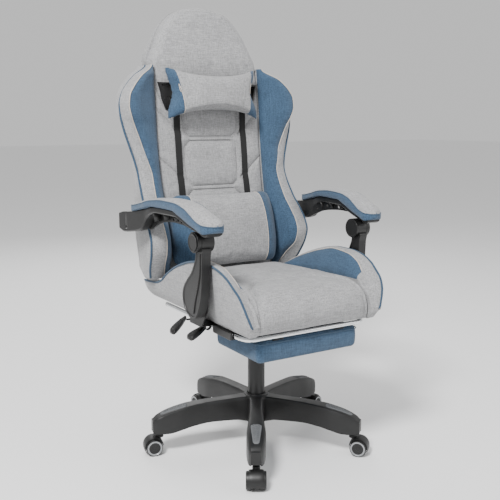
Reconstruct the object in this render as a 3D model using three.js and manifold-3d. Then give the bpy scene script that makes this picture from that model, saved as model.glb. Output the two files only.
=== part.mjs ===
// Gaming chair with a five-star base, gas lift, reclining back, linked armrests and a pull-out footrest.
// Millimetres, +Z up, the sitter faces -Y. Sub-parts are built about the column axis, with the floor at z = 0.
import * as THREE from 'three';
import { mergeVertices } from 'three/addons/utils/BufferGeometryUtils.js';
import Module from 'manifold-3d';

// ---------------------------------------------------------------- driving dimensions
const FIT = 0.4;                 // clearance between neighbouring pieces
const BASE_TURN = -122;          // heading of the first leg, degrees
const LEGS = 5;
const CASTER_RADIUS = 25;
const CASTER_SIDES = 20;
const CASTER_STEM_AT = 305;      // stem distance from the column
const CASTER_TRAIL = 20;         // axle distance outside the stem
const CASTER_WIDTH = 57;
const CASTER_WEB = 10;           // middle web of the housing
const TUBE_OUTER_R = 26;
const TUBE_TOP_Z = 350;
const LIFT_R = 14;
const PAN_Z = 428;               // underside of the seat pan
const SEAT_HALF = 185;
const BOLSTER_IN = 187;
const BOLSTER_OUT = 245;
const HINGE = { y: 235, z: 500 };        // recline axis
const POST_FOOT = { y: -130, z: 500 };   // lower pivot of the armrest post
const LINK = { y: -20, z: 170 };          // both linkage cranks, from lower to upper pivot
const RAIL = { x: 200, z: 418, r: 7, front: -272, rear: 208, bend: 38 };
const CENTRE_HALF = 188;         // half-width of the centre panel below the neck
const PANEL_DEPTH = 40;
const POST_IN = 251;
const POST_OUT = 278;
const LUG_OUT = 290;             // outer face of the armrest's pivot lug

// outlines as [station, value] pairs, joined by straight runs
const BACK_FACE = [[505, 203], [600, 220], [780, 260], [920, 280], [1050, 291], [1200, 310], [1343, 331]];
const BACK_REAR = [[505, 330], [600, 350], [720, 352], [850, 362], [1015, 398], [1150, 402], [1260, 396], [1343, 380]];
const BACK_HALF = [[505, 188], [1165, 188], [1172, 194], [1200, 182], [1230, 167], [1260, 154], [1290, 134],
  [1310, 115], [1330, 87], [1343, 55]];
// wing corners as [height, x, y]: the ridge between front panel and side band, and the piped outer edge
const RIDGE = [[505, 212, 200], [545, 221, 176], [600, 236, 126], [630, 238, 122], [660, 240, 134],
  [700, 237, 163], [740, 234, 196], [820, 229, 236], [860, 238, 246], [900, 249, 256], [970, 276, 252],
  [1000, 289, 243], [1030, 298, 238], [1060, 298, 237], [1090, 281, 240], [1120, 250, 252], [1156, 205, 288]];
const PIPING = [[505, 262, 190], [545, 274, 168], [600, 282, 137], [630, 283, 130], [660, 284, 143],
  [700, 280, 172], [740, 275, 205], [820, 271, 252], [860, 277, 262], [900, 287, 268], [970, 306, 277],
  [1000, 310, 283], [1030, 308, 293], [1060, 300, 297], [1090, 283, 300], [1120, 252, 308], [1156, 209, 320]];
const WING_REAR = [[505, 262, 280], [600, 268, 292], [700, 262, 302], [820, 246, 350], [900, 252, 372],
  [1000, 280, 392], [1060, 272, 398], [1120, 235, 398], [1156, 204, 396]];
const BOLSTER_TOP = [[-320, 480], [-312, 515], [-290, 549], [-227, 590], [-150, 603], [-69, 605], [60, 572],
  [128, 531], [165, 505], [200, 494], [284, 488]];
const ARM_PAD_TOP = [[-236, 722], [-230, 730], [-218, 738], [-197, 746], [-156, 760], [-94, 771], [-36, 774],
  [34, 771], [98, 762], [187, 743]];
const ARM_PAD_FLOOR = [[-236, 712], [-228, 705], [-212, 699.5], [-200, 701], [-182, 708], [-153, 716], [-96, 737],
  [-65, 748.5], [30, 748], [110, 735], [187, 722]];
const ARM_BEAM_FLOOR = [[-222, 697], [-212, 689], [-200, 690], [-182, 697.5], [-153, 699], [-124, 706],
  [-65, 715], [30, 711], [90, 690], [131, 667], [187, 660], [237, 654], [258, 660]];
const LEG_TOP = [[30, 151], [148, 148], [236, 138], [278, 128], [318, 111], [328, 104]];
const LEG_FLOOR = [[30, 72], [70, 82], [150, 85], [205, 80], [240, 72], [280, 64], [318, 64], [328, 66]];
const LEG_HALF = [[30, 24], [70, 22.5], [150, 23], [205, 25.5], [240, 28], [280, 26], [318, 21], [328, 15]];

const wasm = await Module();
wasm.setup();

// ---------------------------------------------------------------- materials
const paint = (color, roughness, metalness = 0) =>
  new THREE.MeshStandardMaterial({ color, roughness, metalness });
const GREY = paint('#bdbdbd', 0.9);
const BLUE = paint('#527498', 0.9);
const NYLON = paint('#232323', 0.55);
const RUBBER = paint('#1b1b1b', 0.7);
const STEEL = paint('#2a2a2c', 0.45, 0.6);
const CHROME = paint('#d4d6d8', 0.15, 1);
const ZINC = paint('#9a9c9e', 0.4, 1);
const WEBBING = paint('#161616', 0.85);

// ---------------------------------------------------------------- geometry helpers
const rad = THREE.MathUtils.degToRad;

// Value of a [station, value] table at s.
function at(table, s) {
  const last = table.length - 1;
  if (s <= table[0][0]) return table[0][1];
  if (s >= table[last][0]) return table[last][1];
  const i = table.findIndex((row) => row[0] >= s);
  const [s0, v0] = table[i - 1];
  const [s1, v1] = table[i];
  return v0 + ((v1 - v0) * (s - s0)) / (s1 - s0);
}

function outline(points) {
  return new THREE.Shape(points.map(([u, v]) => new THREE.Vector2(u, v)));
}

function disc(u, v, r) {
  return new THREE.Shape().absarc(u, v, r, 0, 2 * Math.PI);
}

function extrude(shape, depth, steps = 8) {
  return new THREE.ExtrudeGeometry(shape, { depth, bevelEnabled: false, curveSegments: steps });
}

// A shape drawn in (x, y), extruded from z0 up to z1.
function alongZ(shape, z0, z1, steps) {
  return extrude(shape, z1 - z0, steps).translate(0, 0, z0);
}

// A shape drawn in (y, z), extruded from x0 to x1.
function alongX(shape, x0, x1, steps) {
  const turn = new THREE.Matrix4().makeBasis(
    new THREE.Vector3(0, 1, 0), new THREE.Vector3(0, 0, 1), new THREE.Vector3(1, 0, 0));
  return extrude(shape, x1 - x0, steps).applyMatrix4(turn).translate(x0, 0, 0);
}

// A shape drawn in (x, z), extruded from y0 to y1.
function alongY(shape, y0, y1, steps) {
  const turn = new THREE.Matrix4().makeBasis(
    new THREE.Vector3(1, 0, 0), new THREE.Vector3(0, 0, 1), new THREE.Vector3(0, -1, 0));
  return extrude(shape, y1 - y0, steps).applyMatrix4(turn).translate(0, y1, 0);
}

// A box between two corners.
function block(x0, x1, y0, y1, z0, z1) {
  return new THREE.BoxGeometry(x1 - x0, y1 - y0, z1 - z0)
    .translate((x0 + x1) / 2, (y0 + y1) / 2, (z0 + z1) / 2);
}

// A profile of [radius, height] points turned about the Z axis.
function turned(profile, sides = 24) {
  const points = [...profile, profile[0]].map(([r, h]) => new THREE.Vector2(r, h));
  return new THREE.LatheGeometry(points, sides).rotateX(Math.PI / 2);
}

// A solid through rings of equal point count, closed by a fan at each end.
function loft(rings) {
  const count = rings[0].length;
  const corners = rings.flat();
  const faces = [];
  for (let i = 0; i + 1 < rings.length; i += 1) {
    for (let j = 0; j < count; j += 1) {
      const a = i * count + j;
      const b = i * count + ((j + 1) % count);
      faces.push(a, b, b + count, a, b + count, a + count);
    }
  }
  const last = (rings.length - 1) * count;
  for (let j = 1; j + 1 < count; j += 1) {
    faces.push(0, j + 1, j, last, last + j, last + j + 1);
  }
  const geometry = new THREE.BufferGeometry();
  geometry.setAttribute('position', new THREE.Float32BufferAttribute(corners.flat(), 3));
  geometry.setIndex(faces);
  return facingOut(geometry);
}

// Turns a closed surface the right way out if its signed volume is negative.
function facingOut(geometry) {
  const p = geometry.attributes.position;
  const index = geometry.index.array;
  const v = [0, 1, 2].map(() => new THREE.Vector3());
  let volume = 0;
  for (let i = 0; i < index.length; i += 3) {
    v.forEach((vector, k) => vector.fromBufferAttribute(p, index[i + k]));
    volume += v[0].dot(v[1].clone().cross(v[2]));
  }
  if (volume < 0) {
    for (let i = 0; i < index.length; i += 3) [index[i], index[i + 1]] = [index[i + 1], index[i]];
  }
  return geometry;
}

function bare(geometry) {
  const copy = geometry.clone();
  copy.deleteAttribute('normal');
  copy.deleteAttribute('uv');
  return mergeVertices(copy, 1e-4);
}

function solid(geometry) {
  const merged = bare(geometry);
  return new wasm.Manifold(new wasm.Mesh({
    numProp: 3,
    vertProperties: new Float32Array(merged.attributes.position.array),
    triVerts: new Uint32Array(merged.index.array),
  }));
}

function toGeometry(manifold) {
  const mesh = manifold.getMesh();
  const geometry = new THREE.BufferGeometry();
  geometry.setAttribute('position', new THREE.BufferAttribute(mesh.vertProperties, 3));
  geometry.setIndex(new THREE.BufferAttribute(mesh.triVerts, 1));
  return geometry;
}

// The first list joined, less the second list.
function carve(joined, cut = []) {
  let body = solid(joined[0]);
  joined.slice(1).forEach((piece) => { body = body.add(solid(piece)); });
  cut.forEach((piece) => { body = body.subtract(solid(piece)); });
  return toGeometry(body);
}

const chair = new THREE.Group();

function add(name, geometry, material, parent = chair) {
  const mesh = new THREE.Mesh(geometry, material);
  mesh.name = name;
  parent.add(mesh);
  return mesh;
}

// Mirrors a geometry built on the +X side to the side given by sign.
function onSide(geometry, sign) {
  if (sign > 0) return geometry;
  const mirrored = bare(geometry).applyMatrix4(new THREE.Matrix4().makeScale(-1, 1, 1));
  return facingOut(mirrored);
}

// Adds a piece for each side: the sitter's left is +X and the sitter's right is -X.
function addPair(name, build, material) {
  add(`${name}_left`, onSide(build(), 1), material);
  add(`${name}_right`, onSide(build(), -1), material);
}

// ---------------------------------------------------------------- five-star base
function starLeg() {
  const stations = [30, 70, 150, 205, 240, 280, 318, 328];
  return loft(stations.map((r) => {
    const half = at(LEG_HALF, r);
    const top = at(LEG_TOP, r);
    const floor = at(LEG_FLOOR, r);
    return [[r, -half, floor], [r, half, floor], [r, half, top - 14], [r, half - 9, top],
      [r, 9 - half, top], [r, -half, top - 14]];
  }));
}

function legHeading(i) {
  return rad(BASE_TURN + (360 / LEGS) * i);
}

function starBase() {
  const hub = turned([[0, 68], [34, 68], [40, 76], [40, 150], [37, 154], [0, 154]], 30);
  const legs = [];
  const sockets = [];
  for (let i = 0; i < LEGS; i += 1) {
    legs.push(starLeg().rotateZ(legHeading(i)));
    sockets.push(alongZ(disc(CASTER_STEM_AT, 0, 5.5 + FIT), 50, 96).rotateZ(legHeading(i)));
  }
  const bore = turned([[0, 60], [TUBE_OUTER_R + FIT, 60], [TUBE_OUTER_R + FIT, 160], [0, 160]], 30);
  return carve([hub, ...legs], [bore, ...sockets]);
}

// ---------------------------------------------------------------- casters, drawn with the stem on the Z axis
function casterHousing() {
  const axle = { u: CASTER_TRAIL, v: CASTER_RADIUS };
  const inner = CASTER_RADIUS + 1.3;
  const outer = CASTER_RADIUS + 4.5;
  const hood = new THREE.Shape();
  hood.absarc(axle.u, axle.v, outer, rad(-15), rad(172), false);
  hood.absarc(axle.u, axle.v, inner, rad(172), rad(-15), true);
  const web = new THREE.Shape().absarc(axle.u, axle.v, inner + 1, rad(-15), rad(172), false);
  const along = (shape, half) => extrude(shape, 2 * half, 7).rotateX(Math.PI / 2).translate(0, half, 0);
  const stem = alongZ(disc(0, 0, 5.5), 50, 92, 5);
  const collar = alongZ(disc(0, 0, 11), 50.5, 58, 5);
  const pin = along(disc(axle.u, axle.v, 3.4 + FIT), CASTER_WEB);
  return carve([along(hood, 20), along(web, CASTER_WEB / 2), collar, stem], [pin]);
}

function casterWheels() {
  const half = CASTER_WIDTH / 2;
  const inner = CASTER_WEB / 2 + 0.8;
  const tread = CASTER_RADIUS / Math.cos(Math.PI / CASTER_SIDES);
  const profile = [[0, -half], [tread - 5, -half], [tread, 5 - half], [tread, -inner], [3.4, -inner],
    [3.4, inner], [tread, inner], [tread, half - 5], [tread - 5, half], [0, half]];
  return turned(profile, CASTER_SIDES)
    .rotateX(Math.PI / 2)
    .rotateY(Math.PI / CASTER_SIDES)
    .translate(CASTER_TRAIL, 0, CASTER_RADIUS);
}

function addCasters() {
  for (let i = 0; i < LEGS; i += 1) {
    const place = new THREE.Group();
    place.rotation.z = legHeading(i);
    place.position.set(CASTER_STEM_AT * Math.cos(legHeading(i)), CASTER_STEM_AT * Math.sin(legHeading(i)), 0);
    chair.add(place);
    add(`caster_${i + 1}_housing`, casterHousing(), NYLON, place);
    add(`caster_${i + 1}_wheels`, casterWheels(), RUBBER, place);
  }
}

// ---------------------------------------------------------------- gas lift
function gasOuterTube() {
  const wall = TUBE_OUTER_R - 3;
  return turned([[5.8, 58], [TUBE_OUTER_R - 2, 58], [TUBE_OUTER_R, 64], [TUBE_OUTER_R, TUBE_TOP_Z],
    [wall, TUBE_TOP_Z], [wall, 64], [5.8, 64]], 30);
}

function gasGuideBush() {
  return turned([[LIFT_R + FIT, 285], [TUBE_OUTER_R - 3 - FIT, 285], [TUBE_OUTER_R - 3 - FIT, TUBE_TOP_Z - 1],
    [LIFT_R + FIT, TUBE_TOP_Z - 1]]);
}

function thrustBearing() {
  return turned([[5.8, 64.4], [13, 64.4], [13, 71.6], [5.8, 71.6]]);
}

function pistonRod() {
  return turned([[0, 53], [9, 53], [9, 57.5], [5, 57.5], [5, 72], [9, 72], [9, 76], [5, 76], [5, 330], [0, 330]], 16);
}

function pressureTube() {
  return turned([[0, 395], [0, 385], [10.5, 385], [10.5, 120], [LIFT_R, 120], [LIFT_R, 392], [11, 395]]);
}

// ---------------------------------------------------------------- seat mechanism and levers
function liftPlate() {
  const plate = block(-95, 95, -110, 105, 418, 427.5);
  const box = block(-52, 52, -36, 70, 384, 419);
  const hollow = block(-48, 48, -32, 66, 388, 417);
  const bore = turned([[0, 380], [LIFT_R + FIT, 380], [LIFT_R + FIT, 390], [0, 390]]);
  const leverSlot = block(-60, -46, -31, -8, 392, 414);
  return carve([plate, box], [hollow, bore, leverSlot]);
}

function releaseButton() {
  return turned([[0, 397], [4, 397], [4, 400.1], [0, 400.1]], 12);
}

// A flat bar through points, square in section, for the levers.
function bar(points, halfWidth, halfThick) {
  return loft(points.map(([x, y, z]) => [
    [x, y - halfWidth, z - halfThick], [x, y + halfWidth, z - halfThick],
    [x, y + halfWidth, z + halfThick], [x, y - halfWidth, z + halfThick]]));
}

// A flat paddle from root to tip, rounded at the tip.
function paddle(root, tip) {
  const widths = [[0, 9], [0.12, 13], [0.8, 14], [0.95, 10.5], [1, 6]];
  return loft(widths.map(([t, half]) => {
    const [x, y, z] = root.map((value, k) => value + (tip[k] - value) * t);
    return [[x, y - half, z - 4], [x, y + half, z - 4], [x, y + half, z + 4], [x, y - half, z + 4]];
  }));
}

function heightLever() {
  const arm = bar([[6, -8, 402.5], [-30, -14, 402.5], [-90, -26, 402], [-166, -34, 400.5], [-201, -61, 400.5],
    [-216, -68, 410]], 5, 2);
  return carve([arm, paddle([-213, -67, 411], [-274, -84, 392])]);
}

function reclineLever() {
  const arm = bar([[-118, 66, 404], [-200, 60, 402], [-216, 55, 409]], 5, 2);
  return carve([arm, paddle([-213, 56, 410], [-274, 26, 381])]);
}

function reclineLeverBracket() {
  const tab = block(-150, -104, 54, 100, 424.8, 427.5);
  const cheek = block(-124, -104, 75, 78, 396, 426);
  return carve([tab, cheek]);
}

// ---------------------------------------------------------------- seat
function roundedRect(halfX, y0, y1, r) {
  const shape = new THREE.Shape();
  shape.absarc(halfX - r, y1 - r, r, 0, Math.PI / 2, false);
  shape.absarc(r - halfX, y1 - r, r, Math.PI / 2, Math.PI, false);
  shape.absarc(r - halfX, y0 + r, r, Math.PI, 1.5 * Math.PI, false);
  shape.absarc(halfX - r, y0 + r, r, 1.5 * Math.PI, 2 * Math.PI, false);
  return shape;
}

function seatPan() {
  return alongZ(roundedRect(175, -255, 215, 25), PAN_Z, PAN_Z + 5, 4);
}

function seatCushion() {
  const side = outline([[-283, 436], [165, 436], [166, 515], [152, 524], [0, 528], [-235, 534], [-272, 529],
    [-296, 511], [-306, 485], [-303, 452]]);
  return alongX(side, -SEAT_HALF, SEAT_HALF);
}

function seatBolster() {
  const outer = [[-320, 212], [-290, 230], [-227, 238], [-69, BOLSTER_OUT], [128, BOLSTER_OUT], [245, 238]];
  const floor = PAN_Z + 2.5;
  const stations = BOLSTER_TOP.map((row) => row[0]);
  return loft(stations.map((y) => {
    const top = at(BOLSTER_TOP, y);
    const x = at(outer, y);
    const foot = floor + (y < -290 ? (-290 - y) * 0.9 : 0);
    const inner = Math.min(528, top - 6);
    return [[BOLSTER_IN, y, foot], [206, y, foot], [x - 6, y, foot + 0.5 * (top - foot)],
      [x, y, top - 0.2 * (top - foot)], [x - 5, y, top - 6], [x - 18, y, top],
      [Math.max(BOLSTER_IN + 4, x - 38), y, (top + inner) / 2 + 1], [BOLSTER_IN, y, inner]];
  }));
}

function reclinerBracket() {
  const hub = alongX(disc(HINGE.y, HINGE.z, 26), 150, 156, 10);
  const strap = alongX(outline([[172, 433.4], [246, 433.4], [258, 500], [212, 500], [172, 446]]), 150, 156);
  const foot = block(120, 156, 172, 212, 433.4, 437);
  const pin = alongX(disc(HINGE.y, HINGE.z, 7), 155, 166);
  return carve([hub, strap, foot, pin]);
}

function armBracket() {
  const cheek = outline([[-45, 425.2], [-112, 425.2], [-150, 478], [-154, 506], [-130, 522], [-106, 514], [-45, 450]]);
  const pin = alongX(disc(POST_FOOT.y, POST_FOOT.z, 6), 249, 262, 5);
  return carve([alongX(cheek, 246.5, 249.5), block(125, 249.5, -112, -45, 425.2, 427.6), pin]);
}

// ---------------------------------------------------------------- footrest
function footrestTube() {
  const { x, z, r, front, rear, bend } = RAIL;
  const path = new THREE.CurvePath();
  const point = (px, py) => new THREE.Vector3(px, py, z);
  const corner = (sx) => new THREE.QuadraticBezierCurve3(
    point(sx * x, front + bend), point(sx * x, front), point(sx * (x - bend), front));
  const left = corner(1);
  const right = corner(-1);
  const backwards = new THREE.QuadraticBezierCurve3(right.v2, right.v1, right.v0);
  path.add(new THREE.LineCurve3(point(x, rear), left.v0));
  path.add(left);
  path.add(new THREE.LineCurve3(left.v2, right.v2));
  path.add(backwards);
  path.add(new THREE.LineCurve3(right.v0, point(-x, rear)));
  const section = new THREE.Shape().absarc(0, 0, r, 0, 2 * Math.PI);
  return new THREE.ExtrudeGeometry(section, { steps: 64, curveSegments: 5, bevelEnabled: false, extrudePath: path });
}

function footrestGuide() {
  const body = block(186, 214, -212, -112, 405.5, 427.5);
  const tab = block(140, 187, -215, -145, 424.8, 427.5);
  const bore = alongY(disc(RAIL.x, RAIL.z, RAIL.r + 0.6), -245, -110, 10);
  return carve([body, tab], [bore]);
}

function footrestPad() {
  return alongZ(roundedRect(160, -278, -43, 22), 355, 405.5, 4);
}

function footrestClip() {
  const ring = disc(RAIL.front, RAIL.z, RAIL.r + 4.5);
  const hole = alongX(disc(RAIL.front, RAIL.z, RAIL.r + 0.6), 80, 125, 10);
  return carve([alongX(ring, 85, 120, 8)], [hole]);
}

// ---------------------------------------------------------------- back
function backHalf(z) {
  return Math.min(CENTRE_HALF, at(BACK_HALF, z));
}

const BACK_STATIONS = [505, 545, 600, 700, 780, 850, 920, 1015, 1050, 1150, 1170, 1200, 1260, 1310, 1332, 1343];

function slotOutline(grow) {
  const g = grow;
  return outline([[126 - g, 1020 - g], [156 + 0.6 * g, 1020 - g], [178 + 1.4 * g, 1104 + g], [126 - g, 1104 + g]]);
}

function slotCut(sign) {
  return onSide(alongY(slotOutline(FIT), 240, 450), sign);
}

// A slice of the back at height z between the depths y0 and y1, with the front edges rounded over.
function backRing(z, y0, y1, ease) {
  const half = backHalf(z);
  return [[-half, y1, z], [-half, y0 + ease, z], [ease - half, y0, z], [half - ease, y0, z],
    [half, y0 + ease, z], [half, y1, z]];
}

// Room in the back for the recliner joint and for the bracket that stands up from it.
function recliningPockets() {
  const joint = () => alongX(disc(HINGE.y, HINGE.z, 27.5), 148.5, 167.5, 10);
  const bracket = () => block(155.5, 165.5, 218, 285, 495, 612);
  return [1, -1].flatMap((sign) => [onSide(joint(), sign), onSide(bracket(), sign)]);
}

function backCushion() {
  const rings = BACK_STATIONS.map((z) => {
    const face = at(BACK_FACE, z);
    const crown = z > 1330 ? (z - 1330) * 0.9 : 0;
    return backRing(z, face + crown, face + PANEL_DEPTH, 14);
  });
  return carve([loft(rings)], [slotCut(1), slotCut(-1), ...recliningPockets()]);
}

function backShell() {
  const rings = BACK_STATIONS.map((z) => {
    const front = at(BACK_FACE, z) + PANEL_DEPTH + 0.6;
    const rear = Math.max(front + 18, at(BACK_REAR, z));
    return backRing(z, front, rear, 6);
  });
  return carve([loft(rings)], [slotCut(1), slotCut(-1), ...recliningPockets(), reclineRoom()]);
}

// The bottom of the back is cut away behind the hinge, so that the back can recline over the seat.
function reclineRoom() {
  return alongX(outline([[231, 400], [231, 506], [262, 523], [300, 548], [430, 626], [430, 400]]), -320, 320);
}

function backWing() {
  const x0 = CENTRE_HALF + 2;
  const corner = (table, z) => {
    const column = (k) => table.map((row) => [row[0], row[k]]);
    return { x: at(column(1), z), y: at(column(2), z) };
  };
  const rings = RIDGE.map(([z]) => {
    const face = at(BACK_FACE, z);
    const ridge = corner(RIDGE, z);
    const edge = corner(PIPING, z);
    const rear = corner(WING_REAR, z);
    const belly = { x: x0 + 0.5 * (ridge.x - x0), y: face + 0.45 * (ridge.y - face) };
    return [[x0, face, z], [belly.x, belly.y, z], [ridge.x, ridge.y, z], [edge.x, edge.y, z],
      [rear.x, rear.y, z], [x0, rear.y + 6, z]];
  });
  return carve([loft(rings)], [reclineRoom()]);
}

function slotBezel() {
  const depth = [283, 407];
  return carve([alongY(slotOutline(0), depth[0], depth[1])], [alongY(slotOutline(-5), 240, 450)]);
}

function backBracket() {
  const hub = alongX(disc(HINGE.y, HINGE.z, 25), 157, 163, 10);
  const strap = alongX(outline([[222, 500], [250, 496], [276, 604], [250, 604]]), 157, 163);
  const hole = alongX(disc(HINGE.y, HINGE.z, 7.5), 150, 170);
  return carve([hub, strap], [hole]);
}

// An octagonal slice of a pillow at x, with its back on the panel's face.
function pillowRing(x, low, high, thick, gap) {
  const mid = (low + high) / 2;
  const half = (high - low) / 2;
  return [[-0.5, -1], [0.5, -1], [0.94, -0.6], [1, 0], [0.94, 0], [0.5, 0], [-0.5, 0], [-0.94, 0], [-1, 0], [-0.94, -0.6]]
    .filter((row, i) => i !== 3 && i !== 8)
    .map(([v, u]) => {
      const z = mid + v * half;
      return [x, at(BACK_FACE, z) - gap + u * thick, z];
    });
}

function headPillow() {
  const stations = [[-168, 990, 1152, 26], [-140, 994, 1148, 46], [-105, 1003, 1138, 64], [0, 1006, 1132, 70],
    [105, 1003, 1138, 64], [140, 994, 1148, 46], [168, 990, 1152, 26]];
  return loft(stations.map(([x, low, high, thick]) => pillowRing(x, low, high, thick, 17)));
}

function lumbarPillow() {
  const stations = [[-186, 550, 748, 40], [-165, 538, 758, 72], [-90, 535, 762, 90], [0, 534, 762, 94],
    [90, 535, 762, 90], [165, 538, 758, 72], [186, 550, 748, 40]];
  return loft(stations.map(([x, low, high, thick]) => pillowRing(x, low, high, thick, 5)));
}

function strap() {
  const heights = [700, 780, 920, 1012];
  const front = heights.map((z) => [at(BACK_FACE, z) - 3, z]);
  const rear = heights.map((z) => [at(BACK_FACE, z) - 1, z]).reverse();
  return alongX(outline([...front, ...rear]), 109, 132);
}

// ---------------------------------------------------------------- armrests
// Centre line of the armrest, which toes in towards the front.
function armCentre(y) {
  return 256 + (y + 300) * (54 / 490);
}

const ARM_PIVOT = { y: POST_FOOT.y + LINK.y, z: POST_FOOT.z + LINK.z };
const ARM_PIN = { y: HINGE.y + LINK.y, z: HINGE.z + LINK.z };
const PIVOT_DISC = 28;           // radius of the round ends at the upper pivot

function armrestPad() {
  const halves = [[-236, 12], [-232, 19], [-224, 26], [-212, 31], [-195, 33], [70, 33], [100, 28], [130, 24], [170, 20],
    [187, 12]];
  const stations = [-236, -230, -218, -197, -182, -153, -96, -65, 30, 110, 150, 170, 187];
  return loft(stations.map((y) => {
    const x = armCentre(y);
    const half = at(halves, y);
    const low = at(ARM_PAD_FLOOR, y);
    const high = at(ARM_PAD_TOP, y);
    const ease = Math.min(8, 0.45 * (high - low));
    return [[x - half + 3, y, low], [x + half - 3, y, low], [x + half, y, high - ease], [x + half - 8, y, high],
      [x - half + 8, y, high], [x - half, y, high - ease]];
  }));
}

function armrestFrame() {
  const stations = ARM_BEAM_FLOOR.map((row) => row[0]);
  const beam = loft(stations.map((y) => {
    const x = armCentre(y);
    const low = at(ARM_BEAM_FLOOR, y);
    const high = y > 187 ? at([[187, 721.3], [237, 716], [258, 711]], y) : at(ARM_PAD_FLOOR, y) - 1.3;
    return [[x - 15, y, low], [x + 15, y, low], [x + 15, y, high], [x - 15, y, high]];
  }));
  const ear = outline([[-178, 706], [-178, 668], [-122, 668], [-122, 706]]);
  const lug = alongX(disc(ARM_PIVOT.y, ARM_PIVOT.z, PIVOT_DISC), POST_OUT + FIT, LUG_OUT, 8);
  const bore = alongX(disc(ARM_PIN.y, ARM_PIN.z, 7), 280, 340, 6);
  return carve([beam, alongX(ear, POST_OUT + FIT, LUG_OUT), lug], [bore]);
}

function armrestPost() {
  const side = outline([[-142, 655], [-131, 606], [-112, 580], [-88, 560], [-66, 535], [-58, 512], [-62, 487],
    [-80, 466], [-112, 456], [-128, 456], [-142, 472], [-157, 500], [-170, 545], [-174, 610], [-177, 655]]);
  const head = alongX(disc(ARM_PIVOT.y, ARM_PIVOT.z, PIVOT_DISC), POST_IN - 11, POST_OUT, 8);
  const bore = alongX(disc(POST_FOOT.y, POST_FOOT.z, 6.6), 245, 264, 6);
  return carve([alongX(side, POST_IN, POST_OUT), head], [bore]);
}

function pivotCap() {
  return alongX(disc(ARM_PIVOT.y, ARM_PIVOT.z, 15), LUG_OUT + FIT, LUG_OUT + 3.5, 6);
}

function armrestHinge() {
  const boss = alongX(disc(ARM_PIN.y, ARM_PIN.z, 13), 277, 295, 6);
  const pin = alongX(disc(ARM_PIN.y, ARM_PIN.z, 5), 294, 315, 5);
  return carve([boss, pin]);
}

// ---------------------------------------------------------------- assembly
add('star_base', starBase(), NYLON);
addCasters();
add('gas_outer_tube', gasOuterTube(), STEEL);
add('gas_guide_bush', gasGuideBush(), NYLON);
add('thrust_bearing', thrustBearing(), ZINC);
add('piston_rod', pistonRod(), ZINC);
add('pressure_tube', pressureTube(), STEEL);
add('lift_plate', liftPlate(), STEEL);
add('release_button', releaseButton(), ZINC);
add('height_lever', heightLever(), NYLON);
add('recline_lever', reclineLever(), NYLON);
add('recline_lever_bracket', reclineLeverBracket(), STEEL);
add('seat_pan', seatPan(), STEEL);
add('seat_cushion', seatCushion(), GREY);
addPair('seat_bolster', seatBolster, GREY);
addPair('recliner_bracket', reclinerBracket, STEEL);
addPair('arm_bracket', armBracket, STEEL);
add('footrest_tube', footrestTube(), CHROME);
addPair('footrest_guide', footrestGuide, NYLON);
add('footrest_pad', footrestPad(), BLUE);
addPair('footrest_clip', footrestClip, NYLON);
add('back_cushion', backCushion(), GREY);
add('back_shell', backShell(), GREY);
addPair('back_wing', backWing, BLUE);
addPair('slot_bezel', slotBezel, NYLON);
addPair('back_bracket', backBracket, STEEL);
add('head_pillow', headPillow(), GREY);
add('lumbar_pillow', lumbarPillow(), GREY);
addPair('strap', strap, WEBBING);
addPair('armrest_hinge', armrestHinge, STEEL);
addPair('armrest_post', armrestPost, NYLON);
addPair('armrest_frame', armrestFrame, NYLON);
addPair('armrest_pad', armrestPad, GREY);
addPair('pivot_cap', pivotCap, NYLON);

// The origin is the middle of the bounding box, on the floor.
const bounds = new THREE.Box3().setFromObject(chair, true);
const middle = bounds.getCenter(new THREE.Vector3());
chair.position.set(-middle.x, -middle.y, 0);

export default chair;
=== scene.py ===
"""Visual model of a reclining gaming chair, built around its packed frame.

Sizes inside the functions are millimetres about the column axis, with the floor at z = 0
and the sitter facing -Y; place() turns them into the frame's metres.
"""

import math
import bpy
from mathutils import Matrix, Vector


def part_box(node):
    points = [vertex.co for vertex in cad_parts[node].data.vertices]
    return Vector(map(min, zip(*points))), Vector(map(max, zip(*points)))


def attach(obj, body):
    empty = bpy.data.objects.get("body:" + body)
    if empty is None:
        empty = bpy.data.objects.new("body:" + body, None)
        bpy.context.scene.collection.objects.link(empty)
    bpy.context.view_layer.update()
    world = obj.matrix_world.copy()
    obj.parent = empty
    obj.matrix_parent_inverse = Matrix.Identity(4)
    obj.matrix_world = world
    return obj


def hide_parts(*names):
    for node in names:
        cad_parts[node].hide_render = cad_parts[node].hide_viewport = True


bl_info = {
    "name": "Reclining Gaming Chair",
    "version": (1, 0, 0),
    "blender": (4, 5, 0),
    "location": "View3D > Sidebar > Chair",
    "description": "Upholstery, plastics and metals of a gaming chair with footrest",
    "category": "Object",
}

import bmesh
import bpy
from bpy.props import FloatProperty, FloatVectorProperty, PointerProperty, StringProperty
from mathutils import Vector, noise
from mathutils.bvhtree import BVHTree

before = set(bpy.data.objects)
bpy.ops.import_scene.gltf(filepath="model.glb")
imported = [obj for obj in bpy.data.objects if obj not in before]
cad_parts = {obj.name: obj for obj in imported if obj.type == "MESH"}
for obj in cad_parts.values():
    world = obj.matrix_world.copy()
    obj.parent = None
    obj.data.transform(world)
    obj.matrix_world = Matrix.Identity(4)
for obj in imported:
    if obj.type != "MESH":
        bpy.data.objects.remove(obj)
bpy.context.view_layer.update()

MM = 0.001
# Vertices nearer than this, in metres, are one vertex.
MERGE = 0.00001
SIDES = {"left": 1, "right": -1}
LOW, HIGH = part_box("gas_outer_tube")
COLUMN = Vector(((LOW[0] + HIGH[0]) / 2, (LOW[1] + HIGH[1]) / 2, 0))
LEGS = 5
FIRST_LEG = math.radians(-122)
# Distances of a caster's stem and of its axle from the column.
STEM_AT = 305
AXLE_AT = 325
# Heights of the back: lower edge, start of the smooth head, wing tops, start of the top's curve, top.
BACK_LOW, HEAD_LOW, WING_TOP, CREST, BACK_TOP = 506, 1110, 1156, 1318, 1343
QUARTER_TURN = 1.5708

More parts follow.
